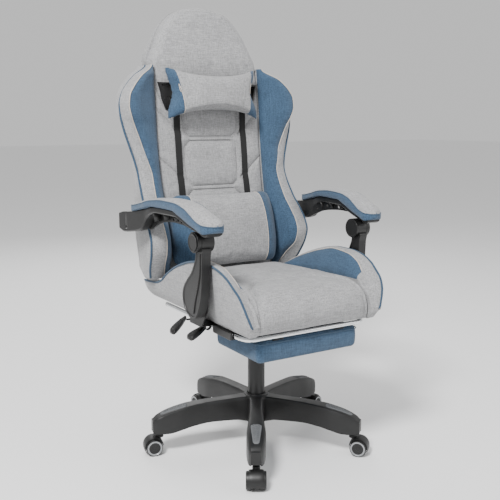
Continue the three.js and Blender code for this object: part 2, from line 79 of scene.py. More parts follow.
GREY, BLUE = "grey linen polyester", "blue linen polyester"
WELT, EDGE, THREAD = "blue welt", "seam edge", "grey sewing thread"
NYLON, POLYPROPYLENE = "black glass-filled nylon", "black polypropylene"
ELASTOMER, POLYURETHANE = "charcoal elastomer", "black polyurethane"
BLACK_STEEL, ZINC, CHROME = "powder-coated steel", "zinc-plated steel", "chromed steel"
LACQUER, WEBBING, PAPER = "silver lacquer", "elastic webbing", "studio paper"

# ---------------------------------------------------------------- outlines, as rows of (station, value, ...)
BACK_FACE = [(505, 203), (600, 220), (780, 260), (920, 280), (1050, 291), (1200, 310), (1343, 331)]
BACK_REAR = [(505, 330), (600, 350), (720, 352), (850, 362), (1015, 398), (1150, 402), (1260, 396),
             (1343, 380)]
HEAD_HALF = [(1140, 188), (1160, 192), (1172, 191), (1200, 179), (1230, 165), (1260, 151), (1290, 131),
             (1310, 112), (1328, 84), (1338, 56), (1343, 26)]
RIDGE = [(505, 212, 200), (545, 221, 176), (600, 235, 128), (630, 237, 122), (660, 238, 133),
         (700, 236, 163), (740, 233, 196), (820, 229, 236), (860, 238, 246), (900, 249, 256), (970, 276, 252),
         (1000, 289, 243), (1030, 297, 239), (1060, 294, 239), (1090, 277, 243), (1120, 249, 254),
         (1156, 200, 289)]
PIPING = [(505, 262, 192), (545, 273, 168), (600, 280, 140), (630, 282, 134), (660, 282, 146),
          (700, 279, 174), (740, 273, 206), (820, 268, 252), (860, 274, 262), (900, 285, 268),
          (970, 304, 277), (1000, 308, 283), (1030, 307, 291), (1060, 299, 296), (1090, 281, 300),
          (1120, 252, 307), (1156, 206, 320)]
WING_REAR = [(505, 260, 280), (600, 266, 290), (700, 260, 302), (820, 245, 350), (900, 251, 372),
             (1000, 278, 390), (1060, 270, 396), (1120, 234, 396), (1156, 201, 394)]
BOLSTER_EDGE = [(-318, 214, 470), (-314, 222, 492), (-306, 230, 520), (-290, 235, 545), (-270, 238, 561),
                (-240, 241, 582), (-200, 243, 597), (-150, 243, 604), (-100, 243, 604), (-50, 242, 598),
                (40, 240, 573), (120, 240, 535), (165, 241, 505), (200, 242, 494), (284, 242, 488)]
BOLSTER_RIDGE = [(-318, 200, 466), (-300, 199, 498), (-285, 199, 513), (-266, 199, 524), (-248, 205, 553),
                 (-213, 212, 583), (-170, 213, 599), (-104, 213, 604), (-42, 212, 592), (42, 210, 566),
                 (120, 206, 533), (165, 206, 505), (200, 208, 493), (284, 208, 486)]
PAD_TOP = [(-236, 724), (-230, 732), (-218, 740), (-197, 747), (-156, 761), (-94, 773), (-36, 776), (34, 772),
           (98, 763), (187, 744)]
PAD_EDGE = [(-236, 718), (-225, 719), (-210, 721), (-182, 729), (-156, 743), (-126, 758), (-80, 768),
            (-19, 770), (44, 765), (105, 752), (187, 740)]
PAD_FLOOR = [(-236, 708), (-228, 702.5), (-212, 698.5), (-200, 701), (-182, 708), (-153, 716.5), (-96, 737.5),
             (-65, 747), (30, 748.5), (110, 735.5), (187, 722.5)]
CENTRE_HALF = 187.5
WING_ROWS = 150
ARM_PIVOT = (-150, 670)
ARM_PIN = (215, 670)
POST_IN, POST_OUT = 251.2, 277.8
LUG_IN, LUG_OUT = 278.6, 289.8
RIB_OUT = 277.4


# ---------------------------------------------------------------- shape helpers
def place(x, y, z):
    """A point in millimetres about the column axis, as a point of the frame in metres."""
    return Vector((COLUMN.x + x * MM, COLUMN.y + y * MM, z * MM))


def smooth(table, s):
    """Values of a table at station s, on a cubic that doesn't overshoot its rows."""
    rows = len(table)
    if s <= table[0][0]:
        return table[0][1:]
    if s >= table[-1][0]:
        return table[-1][1:]
    i = next(k for k in range(1, rows) if table[k][0] >= s)

    def slope(k, column):
        if k <= 0 or k >= rows - 1:
            return 0.0
        before = (table[k][column] - table[k - 1][column]) / (table[k][0] - table[k - 1][0])
        after = (table[k + 1][column] - table[k][column]) / (table[k + 1][0] - table[k][0])
        return 0.0 if before * after <= 0 else 2 * before * after / (before + after)

    width = table[i][0] - table[i - 1][0]
    t = (s - table[i - 1][0]) / width
    values = []
    for column in range(1, len(table[0])):
        start, end = table[i - 1][column], table[i][column]
        m0, m1 = slope(i - 1, column) * width, slope(i, column) * width
        values.append((2 * t**3 - 3 * t**2 + 1) * start + (t**3 - 2 * t**2 + t) * m0
                      + (3 * t**2 - 2 * t**3) * end + (t**3 - t**2) * m1)
    return tuple(values)


def clamp(value):
    return max(0.0, min(1.0, value))


def rounding(t):
    """How far a quarter circle of radius 1 has fallen away at distance t along it."""
    return 1 - math.sqrt(max(0.0, 1 - t * t))


def turns(count):
    """Equal angles round a full turn."""
    return [2 * math.pi * k / count for k in range(count)]


def flatten(value, power):
    """A sine or cosine raised towards its limits, which squares up a round section."""
    return math.copysign(abs(value) ** power, value)


def spread(low, high, count):
    return [low + (high - low) * i / (count - 1) for i in range(count)]


def bend(points, count, closed=False):
    """Points along a smooth line through the given ones."""
    points = [Vector(p) for p in points]
    spans = len(points) if closed else len(points) - 1
    line = []
    for i in range(count):
        t = i * spans / (count if closed else count - 1)
        k = min(int(t), spans - 1)
        t -= k
        pick = [points[(k + j) % len(points)] if closed else points[min(max(k + j, 0), len(points) - 1)]
                for j in (-1, 0, 1, 2)]
        a, b, c, d = pick
        line.append(0.5 * ((2 * b) + (c - a) * t + (2 * a - 5 * b + 4 * c - d) * t**2
                           + (3 * b - a - 3 * c + d) * t**3))
    return line


def skin(rings, caps=True):
    """Vertices and faces of a surface through rings of equal length, with a fan over each end."""
    count = len(rings[0])
    verts = [tuple(p) for ring in rings for p in ring]
    faces = []
    for i in range(len(rings) - 1):
        for j in range(count):
            a, b = i * count + j, i * count + (j + 1) % count
            faces.append((a, b, b + count, a + count))
    if caps:
        for start in (0, (len(rings) - 1) * count):
            middle = sum((Vector(verts[start + j]) for j in range(count)), Vector()) / count
            verts.append(tuple(middle))
            faces += [(start + j, start + (j + 1) % count, len(verts) - 1) for j in range(count)]
    return verts, faces


def link(name, data):
    """A new object in the scene."""
    thing = bpy.data.objects.new(name, data)
    bpy.context.scene.collection.objects.link(thing)
    return thing


def take_mesh(name, work, materials):
    """The object that a finished bmesh makes."""
    mesh = bpy.data.meshes.new(name)
    work.to_mesh(mesh)
    work.free()
    for material in materials:
        mesh.materials.append(material)
    return link(name, mesh)


def mesh_object(name, verts, faces, materials=(), pick=None):
    """A smooth-shaded object from millimetre vertices; pick gives a face's material from its middle."""
    mesh = bpy.data.meshes.new(name)
    mesh.from_pydata([place(*v) for v in verts], [], faces)
    for material in materials:
        mesh.materials.append(MATERIALS[material])
    if pick:
        for polygon in mesh.polygons:
            polygon.material_index = pick((polygon.center - COLUMN) / MM)
    work = bmesh.new()
    work.from_mesh(mesh)
    bmesh.ops.remove_doubles(work, verts=work.verts, dist=MERGE)
    bmesh.ops.recalc_face_normals(work, faces=work.faces)
    for face in work.faces:
        face.smooth = True
    work.to_mesh(mesh)
    work.free()
    return link(name, mesh)


def loft(name, rings, *materials):
    """A closed object through rings of millimetre points."""
    return mesh_object(name, *skin(rings), materials)


def creased(thing, degrees):
    """Shades edges sharper than an angle as sharp."""
    thing.data.set_sharp_from_angle(angle=math.radians(degrees))
    return thing


def finish_modifiers(thing):
    """Turns an object with modifiers into the plain mesh that they make."""
    depsgraph = bpy.context.evaluated_depsgraph_get()
    mesh = bpy.data.meshes.new_from_object(thing.evaluated_get(depsgraph))
    thing.modifiers.clear()
    thing.data = mesh
    return thing


def with_bevel(thing, width, segments=3, angle=35):
    modifier = thing.modifiers.new("edge", "BEVEL")
    modifier.width = width * MM
    modifier.segments = segments
    modifier.limit_method = "ANGLE"
    modifier.angle_limit = math.radians(angle)
    modifier.harden_normals = False
    thing.modifiers.new("normals", "WEIGHTED_NORMAL").keep_sharp = True
    return finish_modifiers(thing)


def cut(thing, tool):
    """Cuts one object out of another and removes the tool."""
    modifier = thing.modifiers.new("cut", "BOOLEAN")
    modifier.operation = "DIFFERENCE"
    modifier.solver = "EXACT"
    modifier.object = tool
    finish_modifiers(thing)
    bpy.data.objects.remove(tool)
    return thing


def join(name, parts):
    """One object from several, each keeping its own materials."""
    work = bmesh.new()
    slots = []
    for part in parts:
        for material in part.data.materials:
            if material not in slots:
                slots.append(material)
    for part in parts:
        before = len(work.faces)
        work.from_mesh(part.data)
        work.faces.ensure_lookup_table()
        own = list(part.data.materials)
        for face in work.faces[before:]:
            face.material_index = slots.index(own[face.material_index]) if own else 0
    for part in parts:
        bpy.data.objects.remove(part)
    return take_mesh(name, work, slots)


def tube(name, path, radius, material, sides=12, closed=False):
    """A round rod along a path of millimetre points."""
    path = [Vector(p) for p in path]
    count = len(path)
    rings = []
    normal = None
    for i in range(count):
        ahead = path[(i + 1) % count] if closed or i + 1 < count else path[i]
        behind = path[i - 1] if closed or i > 0 else path[i]
        tangent = (ahead - behind).normalized()
        if normal is None:
            normal = tangent.orthogonal().normalized()
        normal = (normal - tangent * normal.dot(tangent)).normalized()
        side = tangent.cross(normal)
        rings.append([path[i] + radius * (math.cos(a) * normal + math.sin(a) * side)
                      for a in turns(sides)])
    if closed:
        # the last ring meets the first one at the turn that lies nearest
        start = min(range(sides), key=lambda k: (rings[0][k] - rings[-1][0]).length)
        rings.append(rings[0][start:] + rings[0][:start])
    verts, faces = skin(rings, caps=not closed)
    return mesh_object(name, verts, faces, [material])


def lathe(name, profile, materials, sides, axis=None, middle=(0, 0, 0), pick=None):
    """A profile of (radius, height) rows turned about an axis through a point."""
    rings = []
    turn = Vector((0, 0, 1)).rotation_difference(Vector(axis)) if axis else None
    for angle in turns(sides):
        ring = []
        for radius, height in profile:
            point = Vector((radius * math.cos(angle), radius * math.sin(angle), height))
            if turn:
                point = turn @ point
            ring.append(point + Vector(middle))
        rings.append(ring)
    rings.append(rings[0])
    return mesh_object(name, *skin(rings, caps=False), materials, pick)


def only_verts(grown):
    return [v for v in grown["geom"] if isinstance(v, bmesh.types.BMVert)]


def side_span(side, near, far):
    """The x of two distances from the middle on one side, lower first."""
    return sorted((side * near, side * far))


def slab(name, outline, low, high, axis, material, inset=0, raise_by=0, bevel=2):
    """An outline extruded along X or Z with eased edges; an inset panel can stand proud of both faces."""
    work = bmesh.new()
    if axis == "X":
        points = [place(low, u, v) for u, v in outline]
        shift = Vector(((high - low) * MM, 0, 0))
    else:
        points = [place(u, v, low) for u, v in outline]
        shift = Vector((0, 0, (high - low) * MM))
    face = work.faces.new([work.verts.new(p) for p in points])
    grown = bmesh.ops.extrude_face_region(work, geom=[face])
    bmesh.ops.translate(work, vec=shift, verts=only_verts(grown))
    bmesh.ops.recalc_face_normals(work, faces=work.faces)
    if inset:
        ends = [f for f in work.faces if len(f.verts) == len(outline)]
        bmesh.ops.inset_individual(work, faces=ends, thickness=inset * MM, depth=0)
        for end in ends:
            bmesh.ops.inset_individual(work, faces=[end], thickness=1.2 * MM, depth=raise_by * MM)
    for face in work.faces:
        face.smooth = True
    thing = take_mesh(name, work, [MATERIALS[material]])
    return with_bevel(thing, bevel) if bevel else thing


def circle(u, v, radius, count=40):
    return [(u + radius * math.cos(a), v + radius * math.sin(a)) for a in turns(count)]


def round_rect(u0, u1, v0, v1, radius, per_corner=6):
    points = []
    for cu, cv, start in ((u1 - radius, v1 - radius, 0), (u0 + radius, v1 - radius, 90),
                          (u0 + radius, v0 + radius, 180), (u1 - radius, v0 + radius, 270)):
        for k in range(per_corner + 1):
            angle = math.radians(start + 90 * k / per_corner)
            points.append((cu + radius * math.cos(angle), cv + radius * math.sin(angle)))
    return points


def settle(thing, body, slot, *nodes, fill=None):
    """Tells the frame what a finished piece is: its body, its finish and the CAD nodes that it stands for."""
    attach(thing, body)
    if nodes:
        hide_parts(*nodes)
    return thing


def segment_distance(point, a, b):
    ab = b - a
    t = clamp((point - a).dot(ab) / ab.length_squared)
    return (point - a - ab * t).length


def seam_distance(u, v, seams):
    """Distance from a point to the nearest seam, where a seam is a run of points mirrored in u."""
    point = Vector((abs(u), v))
    return min(segment_distance(point, a, b) for line in seams for a, b in zip(line[:-1], line[1:]))


def as_lines(seams):
    return [[Vector(p) for p in line] for line in seams]


def quilt(distance, height, reach=15, groove=2.5, width=2.4):
    """Height of stuffed fabric at a distance from its nearest seam, with the stitched valley itself."""
    return height * (1 - math.exp(-distance / reach)) - groove * math.exp(-((distance / width) ** 2))


def ripple(x, y, z, amount, size=70):
    """Soft unevenness of stuffed fabric, the same each run."""
    return amount * noise.noise(Vector((x, y, z)) / size)


def inflate(thing, pressure, reach, voxel=5.0, frames=20):
    """Puffs a closed pad with a cloth simulation; no point moves further than reach millimetres."""
    remesh = thing.modifiers.new("grid", "REMESH")
    remesh.mode = "VOXEL"
    remesh.voxel_size = voxel * MM
    remesh.use_smooth_shade = True
    finish_modifiers(thing)
    start = [v.co.copy() for v in thing.data.vertices]
    cloth = thing.modifiers.new("cloth", "CLOTH")
    cloth.settings.quality = 6
    cloth.settings.mass = 0.2
    cloth.settings.tension_stiffness = 18
    cloth.settings.compression_stiffness = 18
    cloth.settings.shear_stiffness = 8
    cloth.settings.bending_stiffness = 0.6
    cloth.settings.use_pressure = True
    cloth.settings.uniform_pressure_force = pressure
    cloth.settings.effector_weights.gravity = 0
    cloth.collision_settings.use_collision = False
    scene = bpy.context.scene
    for step in range(1, frames + 1):
        scene.frame_set(step)
    finish_modifiers(thing)
    scene.frame_set(1)
    for vertex, origin in zip(thing.data.vertices, start):
        move = vertex.co - origin
        if move.length > reach * MM:
            vertex.co = origin + move.normalized() * reach * MM
    for polygon in thing.data.polygons:
        polygon.use_smooth = True
    return thing


def wrapped_loop(thing, middle, column, count=96):
    """A closed line round a pad, where column(z) says how far across the pad the line runs."""
    tree = BVHTree.FromObject(thing, bpy.context.evaluated_depsgraph_get())
    line = []
    for angle in turns(count):
        direction = Vector((0, math.cos(angle), math.sin(angle)))
        z = middle[1]
        for _ in range(3):
            origin = place(column(z), middle[0], middle[1])
            hit = tree.ray_cast(origin, direction)[0]
            if hit is None:
                break
            z = hit.z / MM
        if hit is not None:
            line.append((hit - COLUMN) / MM)
    return line


# ---------------------------------------------------------------- materials
MATERIALS = {}


def linear(code, alpha=1.0):
    """An sRGB hex colour as linear RGBA."""
    parts = [int(code[i:i + 2], 16) / 255 for i in (1, 3, 5)]
    return tuple(c / 12.92 if c <= 0.04045 else ((c + 0.055) / 1.055) ** 2.4 for c in parts) + (alpha,)


def add_node(tree, kind, inputs=None, **settings):
    """A node with its settings; inputs hold numbers, colours, or sockets to link."""
    node = tree.nodes.new(kind)
    for name, value in settings.items():
        setattr(node, name, value)
    for key, value in (inputs or {}).items():
        if isinstance(value, bpy.types.NodeSocket):
            tree.links.new(value, node.inputs[key])
        else:
            node.inputs[key].default_value = value
    return node


def new_material(name, roughness, metallic=0.0, **sockets):
    material = bpy.data.materials.new(name)
    material.use_nodes = True
    tree = material.node_tree
    tree.nodes.clear()
    shader = add_node(tree, "ShaderNodeBsdfPrincipled",
                      {"Roughness": roughness, "Metallic": metallic, **sockets})
    add_node(tree, "ShaderNodeOutputMaterial", {"Surface": shader.outputs[0]})
    MATERIALS[name] = material
    return tree, shader


def threads(tree, spacing):
    """Slubby yarn in three directions, each fine across its run and long along it."""
    where = add_node(tree, "ShaderNodeTexCoord").outputs["Object"]
    fine = 1 / (2 * spacing * MM)
    long = fine / 9
    total = None
    for scale in ((long, fine, fine), (fine, long, fine), (fine, fine, long)):
        turned = add_node(tree, "ShaderNodeMapping", {"Vector": where, "Scale": scale}).outputs[0]
        yarn = add_node(tree, "ShaderNodeTexNoise",
                        {"Vector": turned, "Scale": 1.0, "Detail": 2.0, "Roughness": 0.6}).outputs["Fac"]
        if total is None:
            total = yarn
        else:
            total = add_node(tree, "ShaderNodeMath", {0: total, 1: yarn}, operation="ADD").outputs[0]
    weave = add_node(tree, "ShaderNodeMath", {0: total, 1: 1 / 3}, operation="MULTIPLY").outputs[0]
    return where, weave


def fabric(name, dark, light, spacing, blotch=0.10, contrast=(0.34, 0.66), sheen=0.15):
    """Linen-look polyester: matt melange yarn, soft sheen at grazing angles, thread relief."""
    tree, shader = new_material(name, 0.92, **{"Sheen Weight": sheen, "Sheen Roughness": 0.55,
                                              "Specular IOR Level": 0.25})
    where, weave = threads(tree, spacing)
    yarn = add_node(tree, "ShaderNodeMapRange",
                    {"Value": weave, "From Min": contrast[0], "From Max": contrast[1]})
    tone = add_node(tree, "ShaderNodeMix", {0: yarn.outputs[0], 6: linear(dark), 7: linear(light)},
                    data_type="RGBA")
    cloud = add_node(tree, "ShaderNodeTexNoise", {"Vector": where, "Scale": 22.0, "Detail": 3.0})
    shade = add_node(tree, "ShaderNodeMapRange",
                     {"Value": cloud.outputs["Fac"], "From Min": 0.3, "From Max": 0.7,
                      "To Min": 1 - blotch, "To Max": 1.0})
    dyed = add_node(tree, "ShaderNodeMix", {0: 1.0, 6: tone.outputs[2], 7: shade.outputs[0]},
                    data_type="RGBA", blend_type="MULTIPLY")
    tree.links.new(dyed.outputs[2], shader.inputs["Base Color"])
    relief = add_node(tree, "ShaderNodeBump", {"Height": weave, "Strength": 0.35, "Distance": 0.0012})
    tree.links.new(relief.outputs[0], shader.inputs["Normal"])


def plastic(name, colour, roughness, grain, strength=0.15, worn="#1d1d1d"):
    """Injection-moulded plastic: a fine spark-eroded grain, slightly paler where hands and edges rub."""
    tree, shader = new_material(name, roughness)
    where = add_node(tree, "ShaderNodeTexCoord").outputs["Object"]
    speck = add_node(tree, "ShaderNodeTexNoise", {"Vector": where, "Scale": 1 / (grain * MM), "Detail": 2.0})
    haze = add_node(tree, "ShaderNodeTexNoise", {"Vector": where, "Scale": 14.0, "Detail": 4.0})
    mask = add_node(tree, "ShaderNodeMapRange",
                    {"Value": haze.outputs["Fac"], "From Min": 0.45, "From Max": 0.8})
    tone = add_node(tree, "ShaderNodeMix", {0: mask.outputs[0], 6: linear(colour), 7: linear(worn)},
                    data_type="RGBA")
    tree.links.new(tone.outputs[2], shader.inputs["Base Color"])
    rough = add_node(tree, "ShaderNodeMapRange",
                     {"Value": haze.outputs["Fac"], "From Min": 0.3, "From Max": 0.7,
                      "To Min": roughness - 0.07, "To Max": roughness + 0.07})
    tree.links.new(rough.outputs[0], shader.inputs["Roughness"])
    relief = add_node(tree, "ShaderNodeBump", {"Height": speck.outputs["Fac"], "Strength": strength,
                                               "Distance": 0.0006})
    tree.links.new(relief.outputs[0], shader.inputs["Normal"])


def metal(name, colour, roughness, streak=0.05):
    """Plated or bare metal: clean reflections broken by faint drawing marks."""
    tree, shader = new_material(name, roughness, 1.0)
    where = add_node(tree, "ShaderNodeTexCoord").outputs["Object"]
    marks = add_node(tree, "ShaderNodeTexNoise", {"Vector": where, "Scale": 180.0, "Detail": 3.0})
    tone = add_node(tree, "ShaderNodeMapRange", {"Value": marks.outputs["Fac"], "To Min": roughness - streak,
                                                 "To Max": roughness + streak})
    tree.links.new(tone.outputs[0], shader.inputs["Roughness"])
    shader.inputs["Base Color"].default_value = linear(colour)


def webbing(name, rib=2.2, full_turn=6.283):
    """Ribbed elastic tape: black polyester cords side by side under a flat weft."""
    tree, shader = new_material(name, 0.85, **{"Sheen Weight": 0.1})
    where = add_node(tree, "ShaderNodeTexCoord").outputs["Object"]
    ribs = add_node(tree, "ShaderNodeTexWave",
                    {"Vector": where, "Scale": 1 / (rib * MM) / full_turn, "Distortion": 0.3},
                    bands_direction="X")
    tone = add_node(tree, "ShaderNodeMix",
                    {0: ribs.outputs["Fac"], 6: linear("#040404"), 7: linear("#101010")}, data_type="RGBA")
    tree.links.new(tone.outputs[2], shader.inputs["Base Color"])
    relief = add_node(tree, "ShaderNodeBump",
                      {"Height": ribs.outputs["Fac"], "Strength": 0.5, "Distance": 0.0008})
    tree.links.new(relief.outputs[0], shader.inputs["Normal"])


def hex_of(colour):
    return "#%02x%02x%02x" % tuple(round(255 * max(0, min(1, c))) for c in colour[:3])


def darker(colour, factor):
    return hex_of([c * factor for c in colour[:3]])


def make_materials(looks):
    grey, blue = looks.grey_fabric, looks.blue_fabric
    # Woven polyester seat fabric, piece dyed: a pale mix of light and mid grey yarns that looks like linen.
    fabric(GREY, darker(grey, 0.78), hex_of([c * 1.13 for c in grey]), looks.thread_spacing)
    # The same cloth dyed denim blue, with darker yarns showing through.
    fabric(BLUE, darker(blue, 0.74), hex_of([c * 1.14 for c in blue]), looks.thread_spacing)
    # Bias-cut welt over a cord: tighter and a little deeper in colour than the panels.
    fabric(WELT, darker(blue, 0.74), darker(blue, 1.0), looks.thread_spacing * 0.7)
    # The folded edge of a seam, where the pale backing of the cloth shows.
    fabric(EDGE, "#a89f96", "#cfc6bb", looks.thread_spacing * 0.7)
    # Bonded polyester sewing thread, slightly glossy.
    fabric(THREAD, "#909090", "#b4b4b4", 0.8, sheen=0.4)
    # Glass-filled nylon, injection moulded, near black with a fine matt grain.
    plastic(NYLON, looks.plastic, 0.48, 1.4, 0.18)
    # Polypropylene armrest shells, smoother and a touch glossier than the base.
    plastic(POLYPROPYLENE, looks.plastic, 0.40, 1.8, 0.12)
    # Soft overmoulded foot pads, charcoal and dull.
    plastic(ELASTOMER, "#56585a", 0.62, 1.2, 0.3, "#66676a")
    # Polyurethane caster tread, satin black.
    plastic(POLYURETHANE, "#0e0e0e", 0.5, 2.0, 0.1, "#181818")
    # Silver lacquer on the wheel rings: plastic with a metallic paint.
    metal(LACQUER, "#a9abad", 0.38)
    # Decorative chrome on drawn steel tube: mirror bright.
    metal(CHROME, "#e6e8ea", 0.09, 0.03)
    # Zinc-plated steel, pale and dull.
    metal(ZINC, "#9b9c9d", 0.42)
    # Powder-coated steel, textured black.
    plastic(BLACK_STEEL, "#111111", 0.45, 1.0, 0.25)
    webbing(WEBBING)


# ---------------------------------------------------------------- repeated details by Geometry Nodes
def stitch_tree(material):
    """A tree that lays a short rounded stitch at each step along a line."""
    tree = bpy.data.node_groups.new("Stitches", "GeometryNodeTree")
    tree.interface.new_socket("Seam", in_out="INPUT", socket_type="NodeSocketGeometry")
    for label, default in (("Pitch", 0.006), ("Length", 0.0042), ("Thickness", 0.0011)):
        socket = tree.interface.new_socket(label, in_out="INPUT", socket_type="NodeSocketFloat")
        socket.default_value = default
    tree.interface.new_socket("Stitches", in_out="OUTPUT", socket_type="NodeSocketGeometry")
    start = tree.nodes.new("NodeGroupInput")
    line = add_node(tree, "GeometryNodeMeshToCurve", {"Mesh": start.outputs["Seam"]})
    steps = add_node(tree, "GeometryNodeResampleCurve",
                     {"Curve": line.outputs[0], "Length": start.outputs["Pitch"]}, mode="LENGTH")
    half = add_node(tree, "ShaderNodeMath", {0: start.outputs["Thickness"], 1: 0.5}, operation="MULTIPLY")
    bead = add_node(tree, "GeometryNodeMeshCylinder", {"Vertices": 6, "Radius": half.outputs[0],
                                                       "Depth": start.outputs["Length"]})
    tangent = add_node(tree, "GeometryNodeInputTangent")
    turn = add_node(tree, "FunctionNodeAlignRotationToVector", {"Vector": tangent.outputs[0]}, axis="Z")
    laid = add_node(tree, "GeometryNodeInstanceOnPoints",
                    {"Points": steps.outputs[0], "Instance": bead.outputs[0], "Rotation": turn.outputs[0]})
    real = add_node(tree, "GeometryNodeRealizeInstances", {"Geometry": laid.outputs[0]})
    dyed = add_node(tree, "GeometryNodeSetMaterial", {"Geometry": real.outputs[0], "Material": material})
    add_node(tree, "NodeGroupOutput", {0: dyed.outputs[0]})
    return tree


def stitches(name, lines, body, slot, looks):
    """One mesh of stitches along several lines of millimetre points."""
    verts, edges = [], []
    for line in lines:
        first = len(verts)
        verts += [place(*p) for p in line]
        edges += [(first + k, first + k + 1) for k in range(len(line) - 1)]
    mesh = bpy.data.meshes.new(name)
    mesh.from_pydata(verts, edges, [])
    thing = link(name, mesh)
    tree = stitch_tree(MATERIALS[THREAD])
    modifier = thing.modifiers.new("stitches", "NODES")
    modifier.node_group = tree
    sizes = {"Pitch": looks.stitch_pitch, "Length": looks.stitch_pitch * 0.68}
    for item in tree.interface.items_tree:
        if item.name in sizes and item.in_out == "INPUT":
            modifier[item.identifier] = sizes[item.name] * MM
    finish_modifiers(thing)
    if not thing.data.materials:
        thing.data.materials.append(MATERIALS[THREAD])
    return settle(thing, body, slot)


# ---------------------------------------------------------------- back
BACK_SEAMS = as_lines([
    [(0, 778), (74, 778), (92, 796), (97, 850), (94, 903), (76, 922), (0, 922)],
    [(0, 934), (76, 934), (96, 953), (101, 1010), (99, 1090), (82, 1108), (0, 1108)],
    [(0, 765), (80, 765), (103, 742), (106, 640), (98, 515)],
    [(187, 872), (105, 802)],
    [(187, 1020), (104, 944)],
    [(187, 1088), (150, 1030)],
    [(187, 500), (187, 1150)],
])


def back_half(z):
    return CENTRE_HALF if z < 1140 else min(CENTRE_HALF + 4, smooth(HEAD_HALF, z)[0])


def head_share(z):
    """0 on the quilted part of the back and 1 on its smooth head, with a blend between."""
    return clamp((z - HEAD_LOW) / 60)


def front_y(x, z):
    """Depth of the quilted front of the back at a point across it."""
    half = back_half(z)
    inside = max(0.0, half - abs(x))
    head = head_share(z)
    distance = min(seam_distance(x, z, BACK_SEAMS), 200)
    quilted = quilt(distance, 9)
    dome = 12 * (1 - math.exp(-inside / 30)) if head else 0
    radius = 3 + 20 * head
    t = max(0.0, 1 - inside / radius)
    corner = radius * rounding(t)
    top = 16 * rounding(max(0.0, (z - CREST) / 25))
    return (smooth(BACK_FACE, z)[0] - (1 - head) * quilted - head * dome + corner + top
            + ripple(x, 0, z, 1.2) + 4)


def back_panel():
    rings = []
    for z in spread(BACK_LOW, BACK_TOP, 200):
        half = back_half(z)
        depth = smooth(BACK_FACE, z)[0] + 40
        columns = [half * math.sin(a) for a in spread(-QUARTER_TURN, QUARTER_TURN, 110)]
        front = [(x, min(depth, front_y(x, z)), z) for x in columns]
        rings.append([(-half, depth, z)] + front + [(half, depth, z)])
    return cut_slots(loft("back_centre_panel", rings, GREY))


def slot_outline(grow):
    return [(126 - grow, 1020 - grow), (156 + grow, 1020 - grow), (178 + 1.5 * grow, 1104 + grow),
            (126 - grow, 1104 + grow)]


def cut_slots(thing):
    for side in SIDES.values():
        outline = slot_outline(0.5)
        cut(thing, loft("slot tool", [[(side * x, y, z) for x, z in outline] for y in (200, 460)]))
    for polygon in thing.data.polygons:
        polygon.use_smooth = True
    return creased(thing, 50)


def lowered(z, y, top):
    """Height of a cover point at depth y: the bottom edge rises towards the rear, over the seat."""
    edge = BACK_LOW + max(0.0, y - 231) * 0.6
    return edge + (z - BACK_LOW) * (top - edge) / (top - BACK_LOW)


def rear_cover():
    rings = []
    for z in spread(BACK_LOW, BACK_TOP, 120):
        half = back_half(z)
        start = smooth(BACK_FACE, z)[0] + 40.6
        head = head_share(z)
        side = smooth(WING_REAR, z)[1] + 6 if z < WING_TOP else smooth(BACK_REAR, z)[0] - 6
        centre = smooth(BACK_REAR, z)[0]
        ring = [(-half, start, z)]
        for x in spread(-half, half, 70):
            t = abs(x) / half
            inside = half - abs(x)
            round_off = (18 * head) * (1 - min(1.0, inside / 18)) ** 2
            y = side + (centre - side) * (1 - t**2.6) - round_off + ripple(x, 9, z, 1.5)
            seam = min(abs(abs(x) - 118), 60.0)
            y -= 2.2 * math.exp(-((seam / 2.5) ** 2))
            y -= 22 * rounding(max(0.0, (z - 1300) / 43))
            ring.append((x, max(y, start + 4), z))
        ring.append((half, start, z))
        rings.append([(x, y, lowered(z, y, BACK_TOP)) for x, y, z in ring])
    return cut_slots(loft("back_rear_cover", rings, GREY))


def wing_section(z):
    """Points of the wing's outline at height z on the sitter's left, and how many form each panel."""
    face = smooth(BACK_FACE, z)[0] + 2
    ridge = Vector(smooth(RIDGE, z))
    edge = Vector(smooth(PIPING, z))
    rear = Vector(smooth(WING_REAR, z))
    x0 = 189.0
    inner = Vector((x0, face))
    across = ridge - inner
    outward = Vector((across.y, -across.x)).normalized() if across.length > 1 else Vector((0, -1))
    if outward.y > 0:
        outward = -outward
    puff = min(11.0, across.length * 0.16)
    panel = []
    for t in spread(0, 1, 26):
        swell = puff * (1 - (2 * t - 1) ** 4) + 1.5
        reach = min(t, 1 - t) * across.length
        point = inner.lerp(ridge, t) + outward * swell * (1 - math.exp(-reach / 7))
        panel.append(point)
    band = []
    along = edge - ridge
    normal = Vector((along.y, -along.x)).normalized() if along.length > 1 else Vector((1, 0))
    if normal.x < 0 and abs(normal.x) > abs(normal.y) or normal.y > 0 and abs(normal.y) >= abs(normal.x):
        normal = -normal
    for t in spread(0, 1, 14)[1:]:
        reach = min(t, 1 - t) * along.length
        band.append(ridge.lerp(edge, t) + normal * 5 * (1 - math.exp(-reach / 8)))
    flank = []
    bulge = edge.lerp(rear, 0.5) + Vector((6, 0))
    for t in spread(0, 1, 18)[1:]:
        a = edge.lerp(bulge, t)
        b = bulge.lerp(rear, t)
        flank.append(a.lerp(b, t))
    back = [rear.lerp(Vector((x0, rear.y + 6)), t) for t in spread(0, 1, 10)[1:]]
    return panel, band, flank, back


def wing(label, side):
    rings = []
    for nominal in spread(BACK_LOW, WING_TOP, WING_ROWS):
        ring = []
        for point in sum(wing_section(nominal), []):
            z = lowered(nominal, point.y, WING_TOP)
            swell = ripple(point.x, point.y, z, 1.0, 55)
            ring.append((side * (point.x + swell * 0.5), point.y + swell, z))
        rings.append(ring)
    return loft(f"back_wing_{label}_cover", rings, BLUE, GREY)


def paint(thing, per_ring, rule):
    """Each face's material by its row and its column round the ring."""
    for polygon in thing.data.polygons:
        row, column = divmod(polygon.index, per_ring)
        polygon.material_index = rule(row, column)


